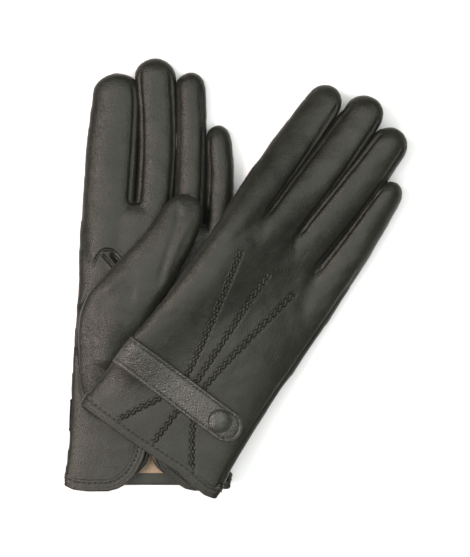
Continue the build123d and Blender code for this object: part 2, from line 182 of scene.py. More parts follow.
def tube(rings, first_cap=True, last_cap=True):
    """Vertices and faces of a tube through rings of points, with fan caps."""
    count = len(rings[0])
    vertices = [p for ring in rings for p in ring]
    faces = []
    for i in range(len(rings) - 1):
        for j in range(count):
            k = (j + 1) % count
            faces.append((i * count + j, i * count + k, (i + 1) * count + k, (i + 1) * count + j))
    for use, row in ((first_cap, 0), (last_cap, len(rings) - 1)):
        if use:
            middle = np.mean(rings[row], axis=0)
            vertices.append(middle)
            centre = len(vertices) - 1
            for j in range(count):
                k = (j + 1) % count
                face = (centre, row * count + k, row * count + j)
                faces.append(face if row == 0 else face[::-1])
    return vertices, faces


def grid_faces(rows, cols, offset=0, flip=False):
    """Four-sided faces between the vertices of a grid, numbered row by row from offset."""
    faces = []
    for i in range(rows - 1):
        for j in range(cols - 1):
            a = offset + i * cols + j
            ahead, beside = (a + 1, a + cols) if flip else (a + cols, a + 1)
            faces.append((a, ahead, a + cols + 1, beside))
    return faces


def flattened(angle, flat):
    """Both coordinates of a flattened circle of radius 1 at an angle."""
    circle = np.array([np.cos(angle), np.sin(angle)])
    return np.abs(circle) ** (2 / flat) * np.sign(circle)


def oval(centre, across, half_width, half_thick, h, count=56, flat=FLATNESS, lean=0.0):
    """Flattened ring of points; lean pushes it along y with height."""
    u, v = flattened(np.arange(count) * 2 * pi / count, flat)
    return np.column_stack([centre[0] + across[0] * u * half_width,
                            centre[1] + across[1] * u * half_width + lean * v,
                            h + v * half_thick])


def evaluated(thing, modifiers):
    """Applies modifiers to a temporary object and gives the mesh, removing the object."""
    for kind, settings in modifiers:
        modifier = thing.modifiers.new(kind, kind)
        for key, value in settings.items():
            setattr(modifier, key, value)
    depsgraph = bpy.context.evaluated_depsgraph_get()
    depsgraph.update()
    mesh = bpy.data.meshes.new_from_object(thing.evaluated_get(depsgraph))
    bpy.data.objects.remove(thing)
    return mesh


def soft_noise(points, scale, seed, octaves=3):
    """Smooth noise from a few seeded waves, about -1 to 1."""
    rng = np.random.default_rng(seed)
    total = np.zeros(len(points))
    weight = 0.0
    for octave in range(octaves):
        size = scale / 2 ** octave
        for _ in range(5):
            direction = rng.normal(size=3)
            direction = direction / np.linalg.norm(direction) * 2 * pi / size
            bend = rng.normal(size=3) * 2 * pi / (size * 2.7)
            phase = rng.uniform(0, 2 * pi)
            wave = np.sin(points @ direction + phase + 1.3 * np.sin(points @ bend + phase * 2))
            total += wave * 0.5 ** octave
        weight += 5 * 0.5 ** octave
    return total / weight * 2.2


def polyline_distance(x, y, line):
    """Distance from plan points to a polyline, and the share of its length reached."""
    line = np.asarray(line, float)
    seg = np.diff(line, axis=0)
    lengths = np.hypot(seg[:, 0], seg[:, 1])
    reached = np.concatenate([[0], np.cumsum(lengths)])
    best = np.full(len(x), 1e9)
    share = np.zeros(len(x))
    for i, (start, step) in enumerate(zip(line[:-1], seg)):
        t = ((x - start[0]) * step[0] + (y - start[1]) * step[1]) / max(lengths[i] ** 2, 1e-9)
        t = np.clip(t, 0, 1)
        d = np.hypot(x - start[0] - t * step[0], y - start[1] - t * step[1])
        closer = d < best
        best = np.where(closer, d, best)
        share = np.where(closer, (reached[i] + t * lengths[i]) / reached[-1], share)
    return best, share


def spline(points, steps):
    """Smooth rows of numbers through given rows; steps(b, c) is how many lie from b to c."""
    p = np.asarray(points, float)
    padded = np.vstack([2 * p[0] - p[1], p, 2 * p[-1] - p[-2]])
    out = []
    for i in range(1, len(padded) - 2):
        a, b, c, d = padded[i - 1:i + 3]
        for t in np.linspace(0, 1, steps(b, c), endpoint=False):
            out.append(0.5 * ((2 * b) + (c - a) * t + (2 * a - 5 * b + 4 * c - d) * t ** 2
                              + (3 * b - a - 3 * c + d) * t ** 3))
    out.append(p[-1])
    return np.array(out)


def smooth_line(points, step=1.5):
    """Smooth curve through plan points, with points about a step apart."""
    return spline(points, lambda b, c: max(int(np.linalg.norm(c - b) / step), 2))


def length_along(points):
    """Length of a polyline from its start to each of its points."""
    pieces = np.linalg.norm(np.diff(points, axis=0), axis=1)
    return np.concatenate([[0], np.cumsum(pieces)])


def unit(rows):
    """The same directions with length 1."""
    return rows / np.linalg.norm(rows, axis=1)[:, None]


def face_centres(co, faces):
    """Middle of each face."""
    return np.array([co[list(f)].mean(axis=0) for f in faces])


# ---------------------------------------------------------------- sizes taken from the frame
def to_glove(glove, point):
    """Glove plan coordinates of a row-frame point in metres."""
    dx, dy = point[0] / MM - glove.origin[0], point[1] / MM - glove.origin[1]
    c, s = cos(glove.turn), sin(glove.turn)
    return c * dx + s * dy, -s * dx + c * dy


# ---------------------------------------------------------------- fingers and thumbs
# Fingers: centre line points (x, y) from inside the hand to the tip, width at each point.
LEFT_FINGERS = {
    "index": ([(-24.0, 118.0), (-23.2, 145.0), (-21.9, 171.0), (-20.6, 190.0), (-18.4, 217.0),
               (-18.2, 226.0)], [24.0, 27.0, 28.0, 28.6, 27.2, 25.2], 235.8),
    "middle": ([(-0.6, 118.0), (2.6, 145.0), (4.9, 171.0), (6.1, 190.0), (5.9, 217.0),
                (4.4, 231.0)], [20.0, 20.0, 20.4, 21.6, 21.6, 22.0], 244.3),
    "ring": ([(20.5, 118.0), (22.2, 145.0), (23.8, 171.0), (24.8, 200.0), (24.4, 224.0)],
             [18.0, 17.0, 16.4, 16.8, 16.2], 236.2),
    "little": ([(38.4, 112.0), (40.4, 140.0), (41.4, 160.0), (41.8, 180.0), (40.4, 197.0)],
               [17.0, 15.8, 14.4, 13.8, 13.2], 206.4),
}
RIGHT_FINGERS = {
    "index": ([(-26.0, 118.0), (-26.4, 142.0), (-25.2, 165.0), (-24.0, 195.0), (-23.0, 219.0)],
              [19.8, 19.8, 21.0, 21.6, 20.0], 230.6),
    "middle": ([(-7.0, 118.0), (-6.2, 142.0), (-4.2, 165.0), (-1.8, 195.0), (-0.2, 224.0)],
               [20.4, 20.8, 22.0, 23.0, 22.0], 236.8),
    "ring": ([(13.4, 118.0), (14.6, 142.0), (17.2, 165.0), (20.2, 195.0), (21.2, 217.0)],
             [20.4, 20.6, 21.2, 21.4, 20.0], 229.8),
    "little": ([(34.8, 108.0), (35.4, 132.0), (36.6, 155.0), (37.1, 175.0), (36.9, 190.0)],
               [21.0, 20.8, 19.2, 16.8, 13.6], 203.4),
}
FINGER_ORDER = ["index", "middle", "ring", "little"]
FINGER_ROUNDING = 11.5  # length of a fingertip's rounding
FINGER_FLATNESS = 2.15
CROTCH_REACH = 8.5      # extra reach of the hand between the index, middle and ring fingers
SIDE_GAIN = 0.85        # what the smoothing takes off each side edge
SLIT_ROOM = 1.1         # every form is built this much too small, then swelled

# Thumbs: index-side edge, far edge, thickness, and how far the top stands above the palm
LEFT_THUMB = [
    ((-35.6, 52.0), (-24.0, 47.5), 3.0, -0.3),
    ((-37.4, 58.0), (-17.0, 51.0), 4.5, 1.0),
    ((-38.4, 70.0), (-10.0, 58.0), 6.5, 3.0),
    ((-38.8, 84.0), (-5.5, 68.0), 8.0, 5.4),
    ((-37.6, 97.0), (-1.5, 80.0), 9.2, 7.6),
    ((-33.6, 108.5), (2.2, 92.0), 10.0, 9.2),
    ((-28.3, 115.6), (6.4, 103.0), 10.4, 10.0),
    ((-18.7, 126.0), (12.0, 111.5), 10.4, 10.3),
    ((-10.5, 134.4), (17.4, 121.0), 10.2, 10.3),
    ((-2.3, 143.4), (22.6, 130.6), 10.0, 10.2),
    ((4.0, 152.0), (27.2, 140.0), 9.8, 10.0),
    ((8.8, 158.8), (30.2, 147.6), 9.4, 9.6),
    ((12.6, 163.0), (31.6, 153.0), 8.6, 9.2),
    ((16.0, 165.4), (32.0, 157.0), 7.2, 8.4),
    ((19.8, 166.4), (30.8, 160.6), 5.2, 7.4),
    ((23.6, 166.0), (28.2, 163.6), 2.4, 5.8),
]
RIGHT_THUMB = [
    ((-33.0, 54.0), (-22.0, 52.0), 2.6, 0.0),
    ((-35.4, 64.0), (-15.0, 60.0), 4.0, 1.6),
    ((-35.6, 80.0), (-9.0, 75.0), 6.0, 4.4),
    ((-34.0, 98.0), (-4.6, 93.0), 7.0, 6.6),
    ((-28.6, 118.0), (-0.4, 112.6), 7.2, 7.4),
    ((-23.4, 138.0), (3.6, 132.4), 7.2, 7.5),
    ((-18.8, 154.0), (6.4, 148.6), 7.0, 7.4),
    ((-15.6, 162.0), (6.0, 157.4), 6.2, 7.0),
    ((-11.6, 167.0), (3.6, 163.4), 4.6, 6.2),
    ((-6.6, 169.6), (-0.6, 168.0), 2.2, 5.0),
]

left = Glove("left", LEFT_ORIGIN, 0.0, False, LEFT_EDGE_Y, LEFT_EDGE, LEFT_FAR, LEFT_FINGERS,
             LEFT_THUMB)
right = Glove("right", RIGHT_ORIGIN, RIGHT_TURN, True, RIGHT_EDGE_Y, RIGHT_EDGE, RIGHT_FAR,
              RIGHT_FINGERS, RIGHT_THUMB)


def part_centre(name):
    """Middle of a CAD part's box, in metres."""
    low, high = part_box(name)
    return [(a + b) / 2 for a, b in zip(low, high)]


# The snap, in glove coordinates; it is at the same place on both gloves
SNAP = to_glove(left, part_centre("left_snap_cap"))


def finger_line(glove, name, y):
    """Centre x and width of a finger at distances y from the hem."""
    centres, widths, tip = glove.fingers[name]
    ys = [c[1] for c in centres] + [tip]
    xs = [c[0] for c in centres] + [centres[-1][0]]
    all_widths = widths + [widths[-1] * 0.97]
    return smooth_table(y, ys, xs), smooth_table(y, ys, all_widths)


def finger_rings(glove, name, shrink):
    """Cross-sections of one finger, closing round its tip."""
    tip = glove.fingers[name][2] - shrink
    start = glove.fingers[name][0][0][1]
    bend = tip - FINGER_ROUNDING
    ys = list(np.arange(start, bend, 2.0))
    ys += [bend + FINGER_ROUNDING * sin(a) for a in np.linspace(0, pi / 2 * 0.985, 14)]
    rings = []
    for y in ys:
        x, width = finger_line(glove, name, y)
        t = max((y - bend) / FINGER_ROUNDING, 0.0)
        closing = (1 - t ** 2.5) ** 0.5
        thick = np.interp(y, THICK_Y, THICK) + 0.6
        start_share = float(ease((y - start) / 22))
        half_thick = (thick / 2 - shrink) * (0.72 + 0.28 * start_share)
        rings.append(oval((float(x), y), (1, 0), (float(width) / 2 - shrink) * closing,
                          half_thick * closing ** 0.9, 0.0, flat=FINGER_FLATNESS))
    return rings


def crotch_shift(x):
    """How much further the hand reaches at x than its plain end, before its lean."""
    return CROTCH_REACH - (CROTCH_REACH + 3.0) * ease((x - 12) / 14)


def hand_rings(glove, shrink, low_y=-12.0):
    """Cross-sections of the hand; its far end leans so the palm reaches further than the back."""
    ys = list(np.arange(low_y, 128.0, 3.0)) + [128.0, 134.0, 139.0, 143.0, 145.5]
    rings = []
    for y in ys:
        middle, half_width = (float(v) for v in edges(glove, y))
        thick = float(smooth_table(y, THICK_Y, THICK))
        end = max((y - 134.0) / 12.0, 0.0)
        closing = (1 - end ** 2.2) ** 0.5 if end < 1 else 0.2
        lean = -9.0 * float(ease((y - 95) / 45))
        ring = oval((middle, y), (1, 0), (half_width - shrink) * (0.96 + 0.04 * closing),
                    (thick / 2 - shrink) * closing, 0.0, count=120, lean=lean)
        ring[:, 1] += crotch_shift(ring[:, 0]) * float(ease((y - 100) / 40))
        rings.append(ring)
    return rings


def base_form(glove, shrink=SLIT_ROOM, voxel=1.15):
    """Hand and fingers fused into one skin, still in glove coordinates in millimetres."""
    vertices, faces = [], []
    tubes = [tube(hand_rings(glove, shrink))]
    tubes += [tube(finger_rings(glove, name, shrink)) for name in FINGER_ORDER]
    for tube_vertices, tube_faces in tubes:
        offset = len(vertices)
        vertices += list(tube_vertices)
        faces += [tuple(i + offset for i in f) for f in tube_faces]
    thing = new_object("form", vertices, faces)
    return evaluated(thing, [("REMESH", {"mode": "VOXEL", "voxel_size": voxel}),
                             ("SMOOTH", {"factor": 0.5, "iterations": 6}),
                             ("SUBSURF", {"levels": 1, "render_levels": 1})])


# ---------------------------------------------------------------- the leather skin
POINT_ROWS = [
    [(-25.4, 2.0), (-19.0, 14.5), (-11.5, 27.0), (-6.6, 37.0), (-4.7, 47.0), (-9.0, 80.0),
     (-16.9, 123.5)],
    [(-0.4, 3.0), (1.6, 28.0), (1.7, 46.5), (2.4, 84.0), (3.1, 121.6)],
    [(28.3, 2.0), (20.8, 13.0), (13.3, 26.0), (9.0, 36.0), (7.3, 47.0), (13.0, 80.0),
     (21.6, 120.0)],
]
THUMB_SEAM = [(-31.4, 123.0), (-29.7, 127.8), (-27.2, 132.4), (-24.0, 135.0), (-19.0, 134.2),
              (-14.6, 130.0), (-12.0, 125.0)]

THUMB_BORDER = [(-26.0, 118.5), (-29.4, 115.2), (-34.4, 108.5), (-38.2, 97.0), (-39.4, 84.0),
                (-39.0, 70.0), (-37.8, 58.0), (-35.8, 50.0), (-32.0, 46.0)]

VENT_EDGE_INDEX = [(0.4, 31.0), (-0.4, 24.0), (-1.6, 17.2), (-4.2, 11.7), (-7.4, 6.4), (-12.6, 1.6)]
VENT_EDGE_FAR = [(1.8, 31.0), (3.0, 24.0), (4.8, 17.2), (8.2, 10.6), (12.3, 6.0), (17.8, 1.6)]

# Creases: plan points, side (1 back, -1 palm), half width, depth, raised lip beside it
LEFT_CREASES = [
    (THUMB_SEAM, -1, 0.6, 0.7, 0.12),
    (THUMB_BORDER, -1, 0.95, 0.6, 0.0),
    ([(-26.4, 133.4), (-22.6, 129.2), (-17.6, 123.5)], -1, 0.7, 0.8, 0.3),
    ([(-20.8, 133.6), (-17.0, 129.4), (-13.4, 124.0)], -1, 1.6, 1.3, 0.2),
    ([(-19.5, 132.0), (-15.6, 128.0), (-13.0, 124.5)], -1, 0.99, 0.5, 0.0),
    ([(-31.0, 128.0), (-34.0, 132.0), (-35.5, 137.0)], -1, 1.8, 0.15, 0.1),
    ([(-36.0, 47.0), (-30.0, 44.0), (-20.0, 43.0), (-8.0, 45.0)], -1, 3.4, 0.4, 0.25),
]
RIGHT_CREASES = [
    ([(-17.1, 146.0), (-16.4, 138.0), (-14.0, 128.0)], 1, 3.2, 0.2, 0.0),
    ([(4.1, 146.0), (4.6, 138.0), (6.0, 128.0)], 1, 3.2, 0.2, 0.0),
    ([(24.6, 132.0), (26.0, 122.0), (30.0, 112.0)], 1, 3.2, 0.25, 0.05),
]


def crease(x, y, facing, line, side, width, depth, lip):
    """Sunk line with a soft lip on both sides, fading out at its ends, and the mask of painted
    shade along its bottom.
    """
    d, share = polyline_distance(x, y, smooth_line(line))
    fade = ease(share / 0.2) * ease((1 - share) / 0.2)
    on_side = ease((facing * side + 0.05) / 0.4)
    sunk = np.exp(-(d / width) ** 2)
    raised = np.exp(-((d - 2.1 * width) / width) ** 2)
    return fade * on_side * (lip * raised - depth * sunk), fade * on_side * sunk


def finger_side(glove, x, y):
    """Which finger a point belongs to, and which side of it: -1 index side, 1 far side."""
    best = np.full(len(x), 1e9)
    which = np.zeros(len(x), int)
    side = np.zeros(len(x))
    for i, name in enumerate(FINGER_ORDER):
        centre, width = finger_line(glove, name, y)
        beyond = (y - glove.fingers[name][2]) / 4
        off = np.abs(x - centre) / (width / 2) + np.clip(beyond, 0, None)
        closer = off < best
        best = np.where(closer, off, best)
        which = np.where(closer, i, which)
        side = np.where(closer, np.sign(x - centre), side)
    return which, side


def slit_number(which, side):
    """Slit between two fingers that a point's side faces: 0, 1 or 2, or -1 for none."""
    slit = np.where(side > 0, which, which - 1)
    return np.where((slit >= 0) & (slit <= 2), slit, -1)


# How far up each slit the strips of its two fingers still touch
SLIT_TOPS = {"left": [234.0, 234.0, 205.0], "right": [223.0, 226.0, 201.0]}
# Where they meet in each slit, as a share of its width from the index side
SLIT_SHARE = {"left": [0.6, 0.85, 0.45], "right": [0.3, 0.3, 0.3]}


def slit_middle(glove, slit, y):
    """Plan x of the line where the strips of two neighbouring fingers meet."""
    lines = [finger_line(glove, name, y) for name in FINGER_ORDER]
    result = np.zeros(len(y))
    for i in range(3):
        (first, first_width), (second, second_width) = lines[i], lines[i + 1]
        low_edge = first + first_width / 2
        high_edge = second - second_width / 2
        at = low_edge + (high_edge - low_edge) * SLIT_SHARE[glove.side][i]
        result = np.where(slit == i, at, result)
    return result


PALM_HEM_X = [-47.0, -42.0, -34.0, -22.0, -16.5, -12.6, 17.8, 21.5, 27.0, 42.0]


def hem_y(glove, x, h):
    """Where the hem's edge runs, on the back (h above 0) and on the palm."""
    if glove.back_up:
        back = np.interp(x, [-47.0, -12.0, 22.0, 33.0, 40.0, 47.0],
                         [1.6, -0.9, -1.2, -3.2, -3.9, -2.6])
        palm = np.interp(x, PALM_HEM_X, [0.4, -0.2, -0.4, -0.4, 0.4, 1.6, 1.6, 0.4, -0.6, -1.6])
    else:
        back = np.full(np.shape(x), 0.7)
        palm = np.interp(x, PALM_HEM_X, [0.4, -1.6, -2.4, -2.3, -0.7, 1.6, 1.6, -0.8, -2.0, -1.2])
    share = ease(np.asarray(h) / 4 + 0.5)
    return palm * (1 - share) + back * share


def hem_distance(glove, x, y, h):
    """Distance from the cuff's free edge, along the hem and both edges of the vent."""
    away = y - hem_y(glove, x, h)
    for edge in (VENT_EDGE_INDEX, VENT_EDGE_FAR):
        d, _ = polyline_distance(x, y, smooth_line(edge, 3.0))
        away = np.where(h < 0, np.minimum(away, d), away)
    return away


# Waves of the leather's surface: height, length, and the seed of each glove's pattern
SKIN_WAVES = [(0.6, 56.0, {"left": 7, "right": 11}), (0.14, 23.0, {"left": 3, "right": 5})]
CROTCH_Y = 146.0            # where the slits between the fingers begin
TRENCH_DEPTH = 0.8          # the skin sinks this much under each row of points
TRENCH_HALF = 1.6
SIDE_SEAM_IN = 2.7          # distance of the back's side seam from the little-finger edge
SIDE_SEAM_DEPTH = 0.4
STRIP_SEAM_H = 3.2          # height of the seams between the fingers and their strips
STRIP_SEAM_DEPTH = 0.55
HEM_SINK = 0.5              # the skin sinks this much under the hem


def calm(y):
    """Share of the leather's waves that is left: few of them at the hem and under the strap."""
    under_strap = 1 - 0.75 * np.exp(-((y - 39) / 14) ** 2)
    return under_strap * (0.15 + 0.85 * ease((y - 6) / 22))


def shaped_skin(glove, creases):
    """Vertices, faces, darkening (dark seams and painted shade) and slit number of the whole skin.
    """
    co, normal, faces = mesh_arrays(base_form(glove))
    x, y, h = co.T
    lift = np.full(len(co), SLIT_ROOM - 0.06)
    for height, length, seeds in SKIN_WAVES:
        lift += calm(y) * height * soft_noise(co, length, seeds[glove.side])
    dark = np.zeros(len(co))
    for line, side, width, depth, lip in creases:
        moved, seam_and_shade = crease(x, y, normal[:, 2], line, side, width, depth, lip)
        lift += moved
        # Narrow creases also darken the colour: the thumb's seam line, and painted shade in the
        # folds.
        if width < 1.0:
            dark = np.maximum(dark, seam_and_shade)
    for row in POINT_ROWS:
        d, share = polyline_distance(x, y, smooth_line(row))
        on_back = ease((normal[:, 2] - 0.1) / 0.4) * ease(share / 0.02) * ease((1 - share) / 0.02)
        lift -= on_back * TRENCH_DEPTH * np.exp(-(d / TRENCH_HALF) ** 6)
    far = smooth_table(y, glove.edge_y, glove.far)
    on_back = (np.abs(normal[:, 2]) > 0.2) * (h > 0) * (y < 150)
    side_seam = np.exp(-((far - SIDE_SEAM_IN - x) / 0.55) ** 2) * on_back
    lift -= SIDE_SEAM_DEPTH * side_seam
    dark = np.maximum(dark, 0.8 * side_seam)
    which, side = finger_side(glove, x, y)
    slit = slit_number(which, side)
    tips = np.array([glove.fingers[name][2] for name in FINGER_ORDER])[which]
    room = slit >= 0
    meet = slit_middle(glove, np.where(room, slit, 0), y)
    crotch = CROTCH_Y + crotch_shift(np.where(slit == 2, 30.0, 0.0)) + 0.2 * (x - meet) ** 2
    low = ease((y - crotch + 1.4 * h + 4) / 5)
    inner = (slit >= 0) * low * ease((tips - 7.0 - y) / 4)
    sideways = ease((np.hypot(normal[:, 0], normal[:, 1]) - 0.3) / 0.3)
    strip_seam = np.exp(-((np.abs(h) - STRIP_SEAM_H) / 0.5) ** 2) * inner * sideways
    if not glove.back_up:
        strip_seam = strip_seam * np.where((slit == 1) & (side < 0), 0.15, 1.0)
    lift -= STRIP_SEAM_DEPTH * strip_seam
    dark = np.maximum(dark, strip_seam)
    # Painted shade: the gap where the strips of two fingers meet is darkened almost to black.
    gap_half = 1.9 if glove.back_up else 1.4
    dark = np.maximum(dark, 0.95 * inner * np.exp(-(h / gap_half) ** 4))
    in_strip = (np.abs(h) < 3.5) & (inner > 0.5) & (np.abs(normal[:, 2]) < 0.75)
    lift -= HEM_SINK * (1 - ease((hem_distance(glove, x, y, h) - 5.5) / 1.2))
    co = co + normal * lift[:, None]
    co[:, 0] += SIDE_GAIN * normal[:, 0] * np.abs(normal[:, 0]) * ease((y - 2) / 3)
    reach = np.array(SLIT_TOPS[glove.side])[np.where(room, slit, 0)]
    closing = low * ease((reach - y) / 7) * np.clip(1 - np.abs(co[:, 2]) / 3.6, 0, 1) ** 0.8
    near = ease((9.0 - np.abs(co[:, 0] - meet)) / 3)
    co[:, 0] += np.where(room, (meet - co[:, 0]) * closing * near * 0.985, 0)
    return co, faces, dark, np.where(in_strip, slit, -1)


def set_shade(thing, name, values):
    """Stores a number at every vertex, for the materials to read."""
    attribute = thing.data.attributes.new(name, "FLOAT", "POINT")
    attribute.data.foreach_set("value", np.asarray(values, np.float32))


def piece_from_faces(name, co, faces, dark, keep):
    """Object from the faces that are kept, with its own vertices."""
    chosen = [f for f, k in zip(faces, keep) if k]
    used = np.unique(np.concatenate([np.array(f) for f in chosen]))
    number = np.full(len(co), -1)
    number[used] = np.arange(len(used))
    thing = new_object(name, co[used], [tuple(number[list(f)]) for f in chosen])
    set_shade(thing, "seam_and_shade", dark[used])
    return thing


def in_vent(x, y):
    """True inside the inverted V, a little short of its edges."""
    low = np.array(VENT_EDGE_INDEX[::-1])
    far = np.array(VENT_EDGE_FAR[::-1])
    left_x = np.interp(y, low[:, 1], low[:, 0])
    right_x = np.interp(y, far[:, 1], far[:, 0])
    return (y < 30.5) & (x > left_x - 0.8) & (x < right_x + 0.8)


def make_skin(glove, creases):
    """Trank and the three strips between the fingers."""
    co, faces, dark, strip = shaped_skin(glove, creases)
    centre = face_centres(co, faces)
    face_strip = np.array([strip[list(f)].min() for f in faces])
    open_cuff = centre[:, 1] < hem_y(glove, centre[:, 0], centre[:, 2]) + 1.2
    open_vent = in_vent(centre[:, 0], centre[:, 1]) & (centre[:, 2] < 0)
    whole = ~(open_cuff | open_vent)
    placed = place(glove, co)
    glove.skin = BVHTree.FromPolygons([tuple(v) for v in co], faces)
    trank = piece_from_faces(glove.side + "_trank_skin", placed, faces, dark,
                             whole & (face_strip < 0))
    finish_piece(trank, glove.body, "glove_leather", leather, glove.side + "_trank")
    for i, (first, second) in enumerate(zip(FINGER_ORDER, FINGER_ORDER[1:])):
        part = "%s_fourchette_%s_%s" % (glove.side, first, second)
        strip_piece = piece_from_faces(part + "_strip", placed, faces, dark,
                                       whole & (face_strip == i))
        finish_piece(strip_piece, glove.body, "glove_leather", side_leather, part)


def finish_piece(thing, body, slot, material, *nodes):
    """Gives a piece its material and body, and hides the CAD parts that it stands for. The slot is
    not used.
    """
    thing.data.materials.clear()
    thing.data.materials.append(material)
    if nodes:
        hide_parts(*nodes)
    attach(thing, body)


# ---------------------------------------------------------------- points on the cuff
def hand_point(glove, theta, y, grow=0.0):
    """Point on the hand's surface: theta 0 is the little-finger edge, pi the index-side fold."""
    theta, y, grow = np.broadcast_arrays(np.asarray(theta, float), np.asarray(y, float),
                                         np.asarray(grow, float))
    middle, half_width = edges(glove, y)
    thick = smooth_table(y, THICK_Y, THICK)
    u, v = flattened(theta, FLATNESS)
    flat = np.stack([middle + u * half_width, y, v * thick / 2], axis=-1)
    nx = np.abs(u) ** (FLATNESS - 1) * np.sign(u) / half_width
    nh = np.abs(v) ** (FLATNESS - 1) * np.sign(v) / (thick / 2)
    length = np.hypot(nx, nh)
    normal = np.stack([nx / length, np.zeros_like(nx), nh / length], axis=-1)
    return flat + normal * grow[..., None], normal


def theta_at(glove, x, y, side):
    """Angle round the hand's section at a plan point on the back (1) or the palm (-1)."""
    middle, half_width = edges(glove, y)
    u = np.clip((x - middle) / half_width, -1, 1)
    return side * np.arccos(np.abs(u) ** (FLATNESS / 2) * np.sign(u))


def hem_path(glove):
    """Angles and distances from the hem along the cuff's free edge, vent to vent."""
    index_edge = smooth_line(VENT_EDGE_INDEX, 1.0)
    far_edge = smooth_line(VENT_EDGE_FAR, 1.0)
    down = [(float(theta_at(glove, x, y, -1)), y) for x, y in index_edge]
    up = [(float(theta_at(glove, x, y, -1)), y) for x, y in far_edge]
    start, end = down[-1][0], up[-1][0]
    round_hem = []
    dense = np.linspace(start, -2 * pi + end, 1500)
    points, _ = hand_point(glove, dense, np.full(len(dense), 0.0))
    reached = length_along(points)
    total = reached[-1]
    for s in np.arange(1.2, total - 1.2, 0.9):
        theta = float(np.interp(s, reached, dense))
        x, _, h = np.array([np.interp(s, reached, points[:, k]) for k in range(3)])
        round_hem.append((theta, float(hem_y(glove, x, h))))
    return down + round_hem + up[::-1]


def path_frames(glove, path):
    """Points, outward normals and inward-from-the-edge directions along a surface path."""
    theta = np.unwrap(np.array([p[0] for p in path]))
    y = np.array([p[1] for p in path])
    points, normal = hand_point(glove, theta, y)
    tangent = np.gradient(points, axis=0)
    for _ in range(3):
        tangent[1:-1] = (tangent[:-2] + tangent[1:-1] + tangent[2:]) / 3
    tangent = unit(tangent)
    inward = unit(np.cross(normal, tangent))
    if inward[len(path) // 2][1] < 0:
        inward = -inward
    return points, normal, inward, tangent


# The hem's section: distance from the cuff's edge, height above the hand and darkness. It runs from
# the outside over the stitched groove and the rolled edge to the facing inside. Round the vent the
# facing shows as a lip beyond the edge. The darkness is painted shade in the stitched groove, along
# the roll and at the facing's far edge, and painted shadow together with a dark edge under the
# rolled edge.
HEM_PROFILE = [(7.6, -0.5, 0.0), (7.2, -0.2, 0.0), (6.7, -0.09, 0.0), (5.6, -0.05, 0.0),
               (5.15, -0.06, 0.0), (4.9, -0.12, 0.55), (4.55, -0.13, 0.55), (4.25, -0.04, 0.0),
               (3.9, 0.04, 0.0), (3.3, 0.12, 0.0), (2.7, 0.14, 0.0), (2.2, 0.1, 0.0),
               (1.85, 0.06, 0.5), (1.5, 0.12, 0.0), (1.05, 0.24, 0.0), (0.5, 0.22, 0.35),
               (0.1, 0.0, 1.0), (0.0, -0.35, 1.0), (-0.05, -0.7, 1.0), (-0.8, -0.95, 1.0),
               (-2.0, -1.1, 0.0), (-2.4, -1.4, 0.0), (-1.2, -1.75, 0.0), (0.5, -1.9, 0.0),
               (2.2, -1.95, 0.0), (4.0, -1.85, 0.0), (6.0, -1.6, 0.0), (7.5, -1.5, 0.0),
               (8.6, -1.7, 0.9), (8.9, -2.0, 0.9)]
HEM_STITCH_IN = 4.7         # distance of the hem's stitches from the edge
VENT_FACING = 3.5           # depth of the facing inside the vent's edges


def make_hem(glove):
    """Rolled hem with its turned-in facing, and the stitches along it."""
    path = hem_path(glove)
    points, normal, inward, tangent = path_frames(glove, path)
    reached = length_along(points)
    on_vent = ease((np.array([p[1] for p in path]) - 4.0) / 12.0)
    wobble = 0.05 * np.sin(reached * 2 * pi / STITCH_PITCH) + 0.05 * np.sin(reached * 0.9)
    rings = []
    for b, n, _ in HEM_PROFILE:
        depth = np.full(len(path), b)
        if b > 3.95 and n < -1:
            depth = b - (b - VENT_FACING) * on_vent
        if b < -0.1:
            depth = b * on_vent
        high = n + wobble * (n > 0.1)
        rings.append(points + inward * depth[:, None] + normal * high[:, None])
    count = len(path)
    hem = new_object(glove.side + "_hem_roll", place(glove, np.concatenate(rings)),
                     grid_faces(len(rings), count))
    set_shade(hem, "seam_and_shade", np.repeat([dark for _, _, dark in HEM_PROFILE], count))
    finish_piece(hem, glove.body, "glove_leather", leather, glove.side + "_hem_facing")
    stitches = []
    for s in np.arange(2.0, reached[-1] - 2.0, STITCH_PITCH):
        at = [np.array([np.interp(s, reached, a[:, k]) for k in range(3)])
              for a in (points, normal, inward, tangent)]
        centre = at[0] + at[2] * HEM_STITCH_IN + at[1] * 0.02
        stitches.append((centre, at[3], at[2], at[1]))
    thread = stitch_object(glove, glove.side + "_hem_stitches", stitches, 0.85, 0.4)
    finish_piece(thread, glove.body, "sewing_thread", thread_material,
                 glove.side + "_hem_thread")


def stitch_object(glove, name, stitches, half_length, radius):
    """Small rounded stitches: centre, direction, sideways and up for each."""
    vertices, faces = [], []
    shape = [(-1.0, 0.15), (-0.8, 0.75), (-0.3, 1.0), (0.3, 1.0), (0.8, 0.75), (1.0, 0.15)]
    for centre, along_it, sideways, up in stitches:
        offset = len(vertices)
        for t, r in shape:
            for k in range(7):
                a = 2 * pi * k / 7
                twist = 0.25 * sin(t * 3)
                vertices.append(centre + along_it * half_length * t
                                + sideways * radius * (r * cos(a) + twist)
                                + up * radius * (r * sin(a) + 0.35 * (1 - t * t)))
        for i in range(len(shape) - 1):
            for k in range(7):
                m = (k + 1) % 7
                faces.append((offset + i * 7 + k, offset + i * 7 + m,
                              offset + (i + 1) * 7 + m, offset + (i + 1) * 7 + k))
        faces.append(tuple(offset + k for k in range(6, -1, -1)))
        faces.append(tuple(offset + (len(shape) - 1) * 7 + k for k in range(7)))
    return new_object(name, place(glove, np.array(vertices)), faces)


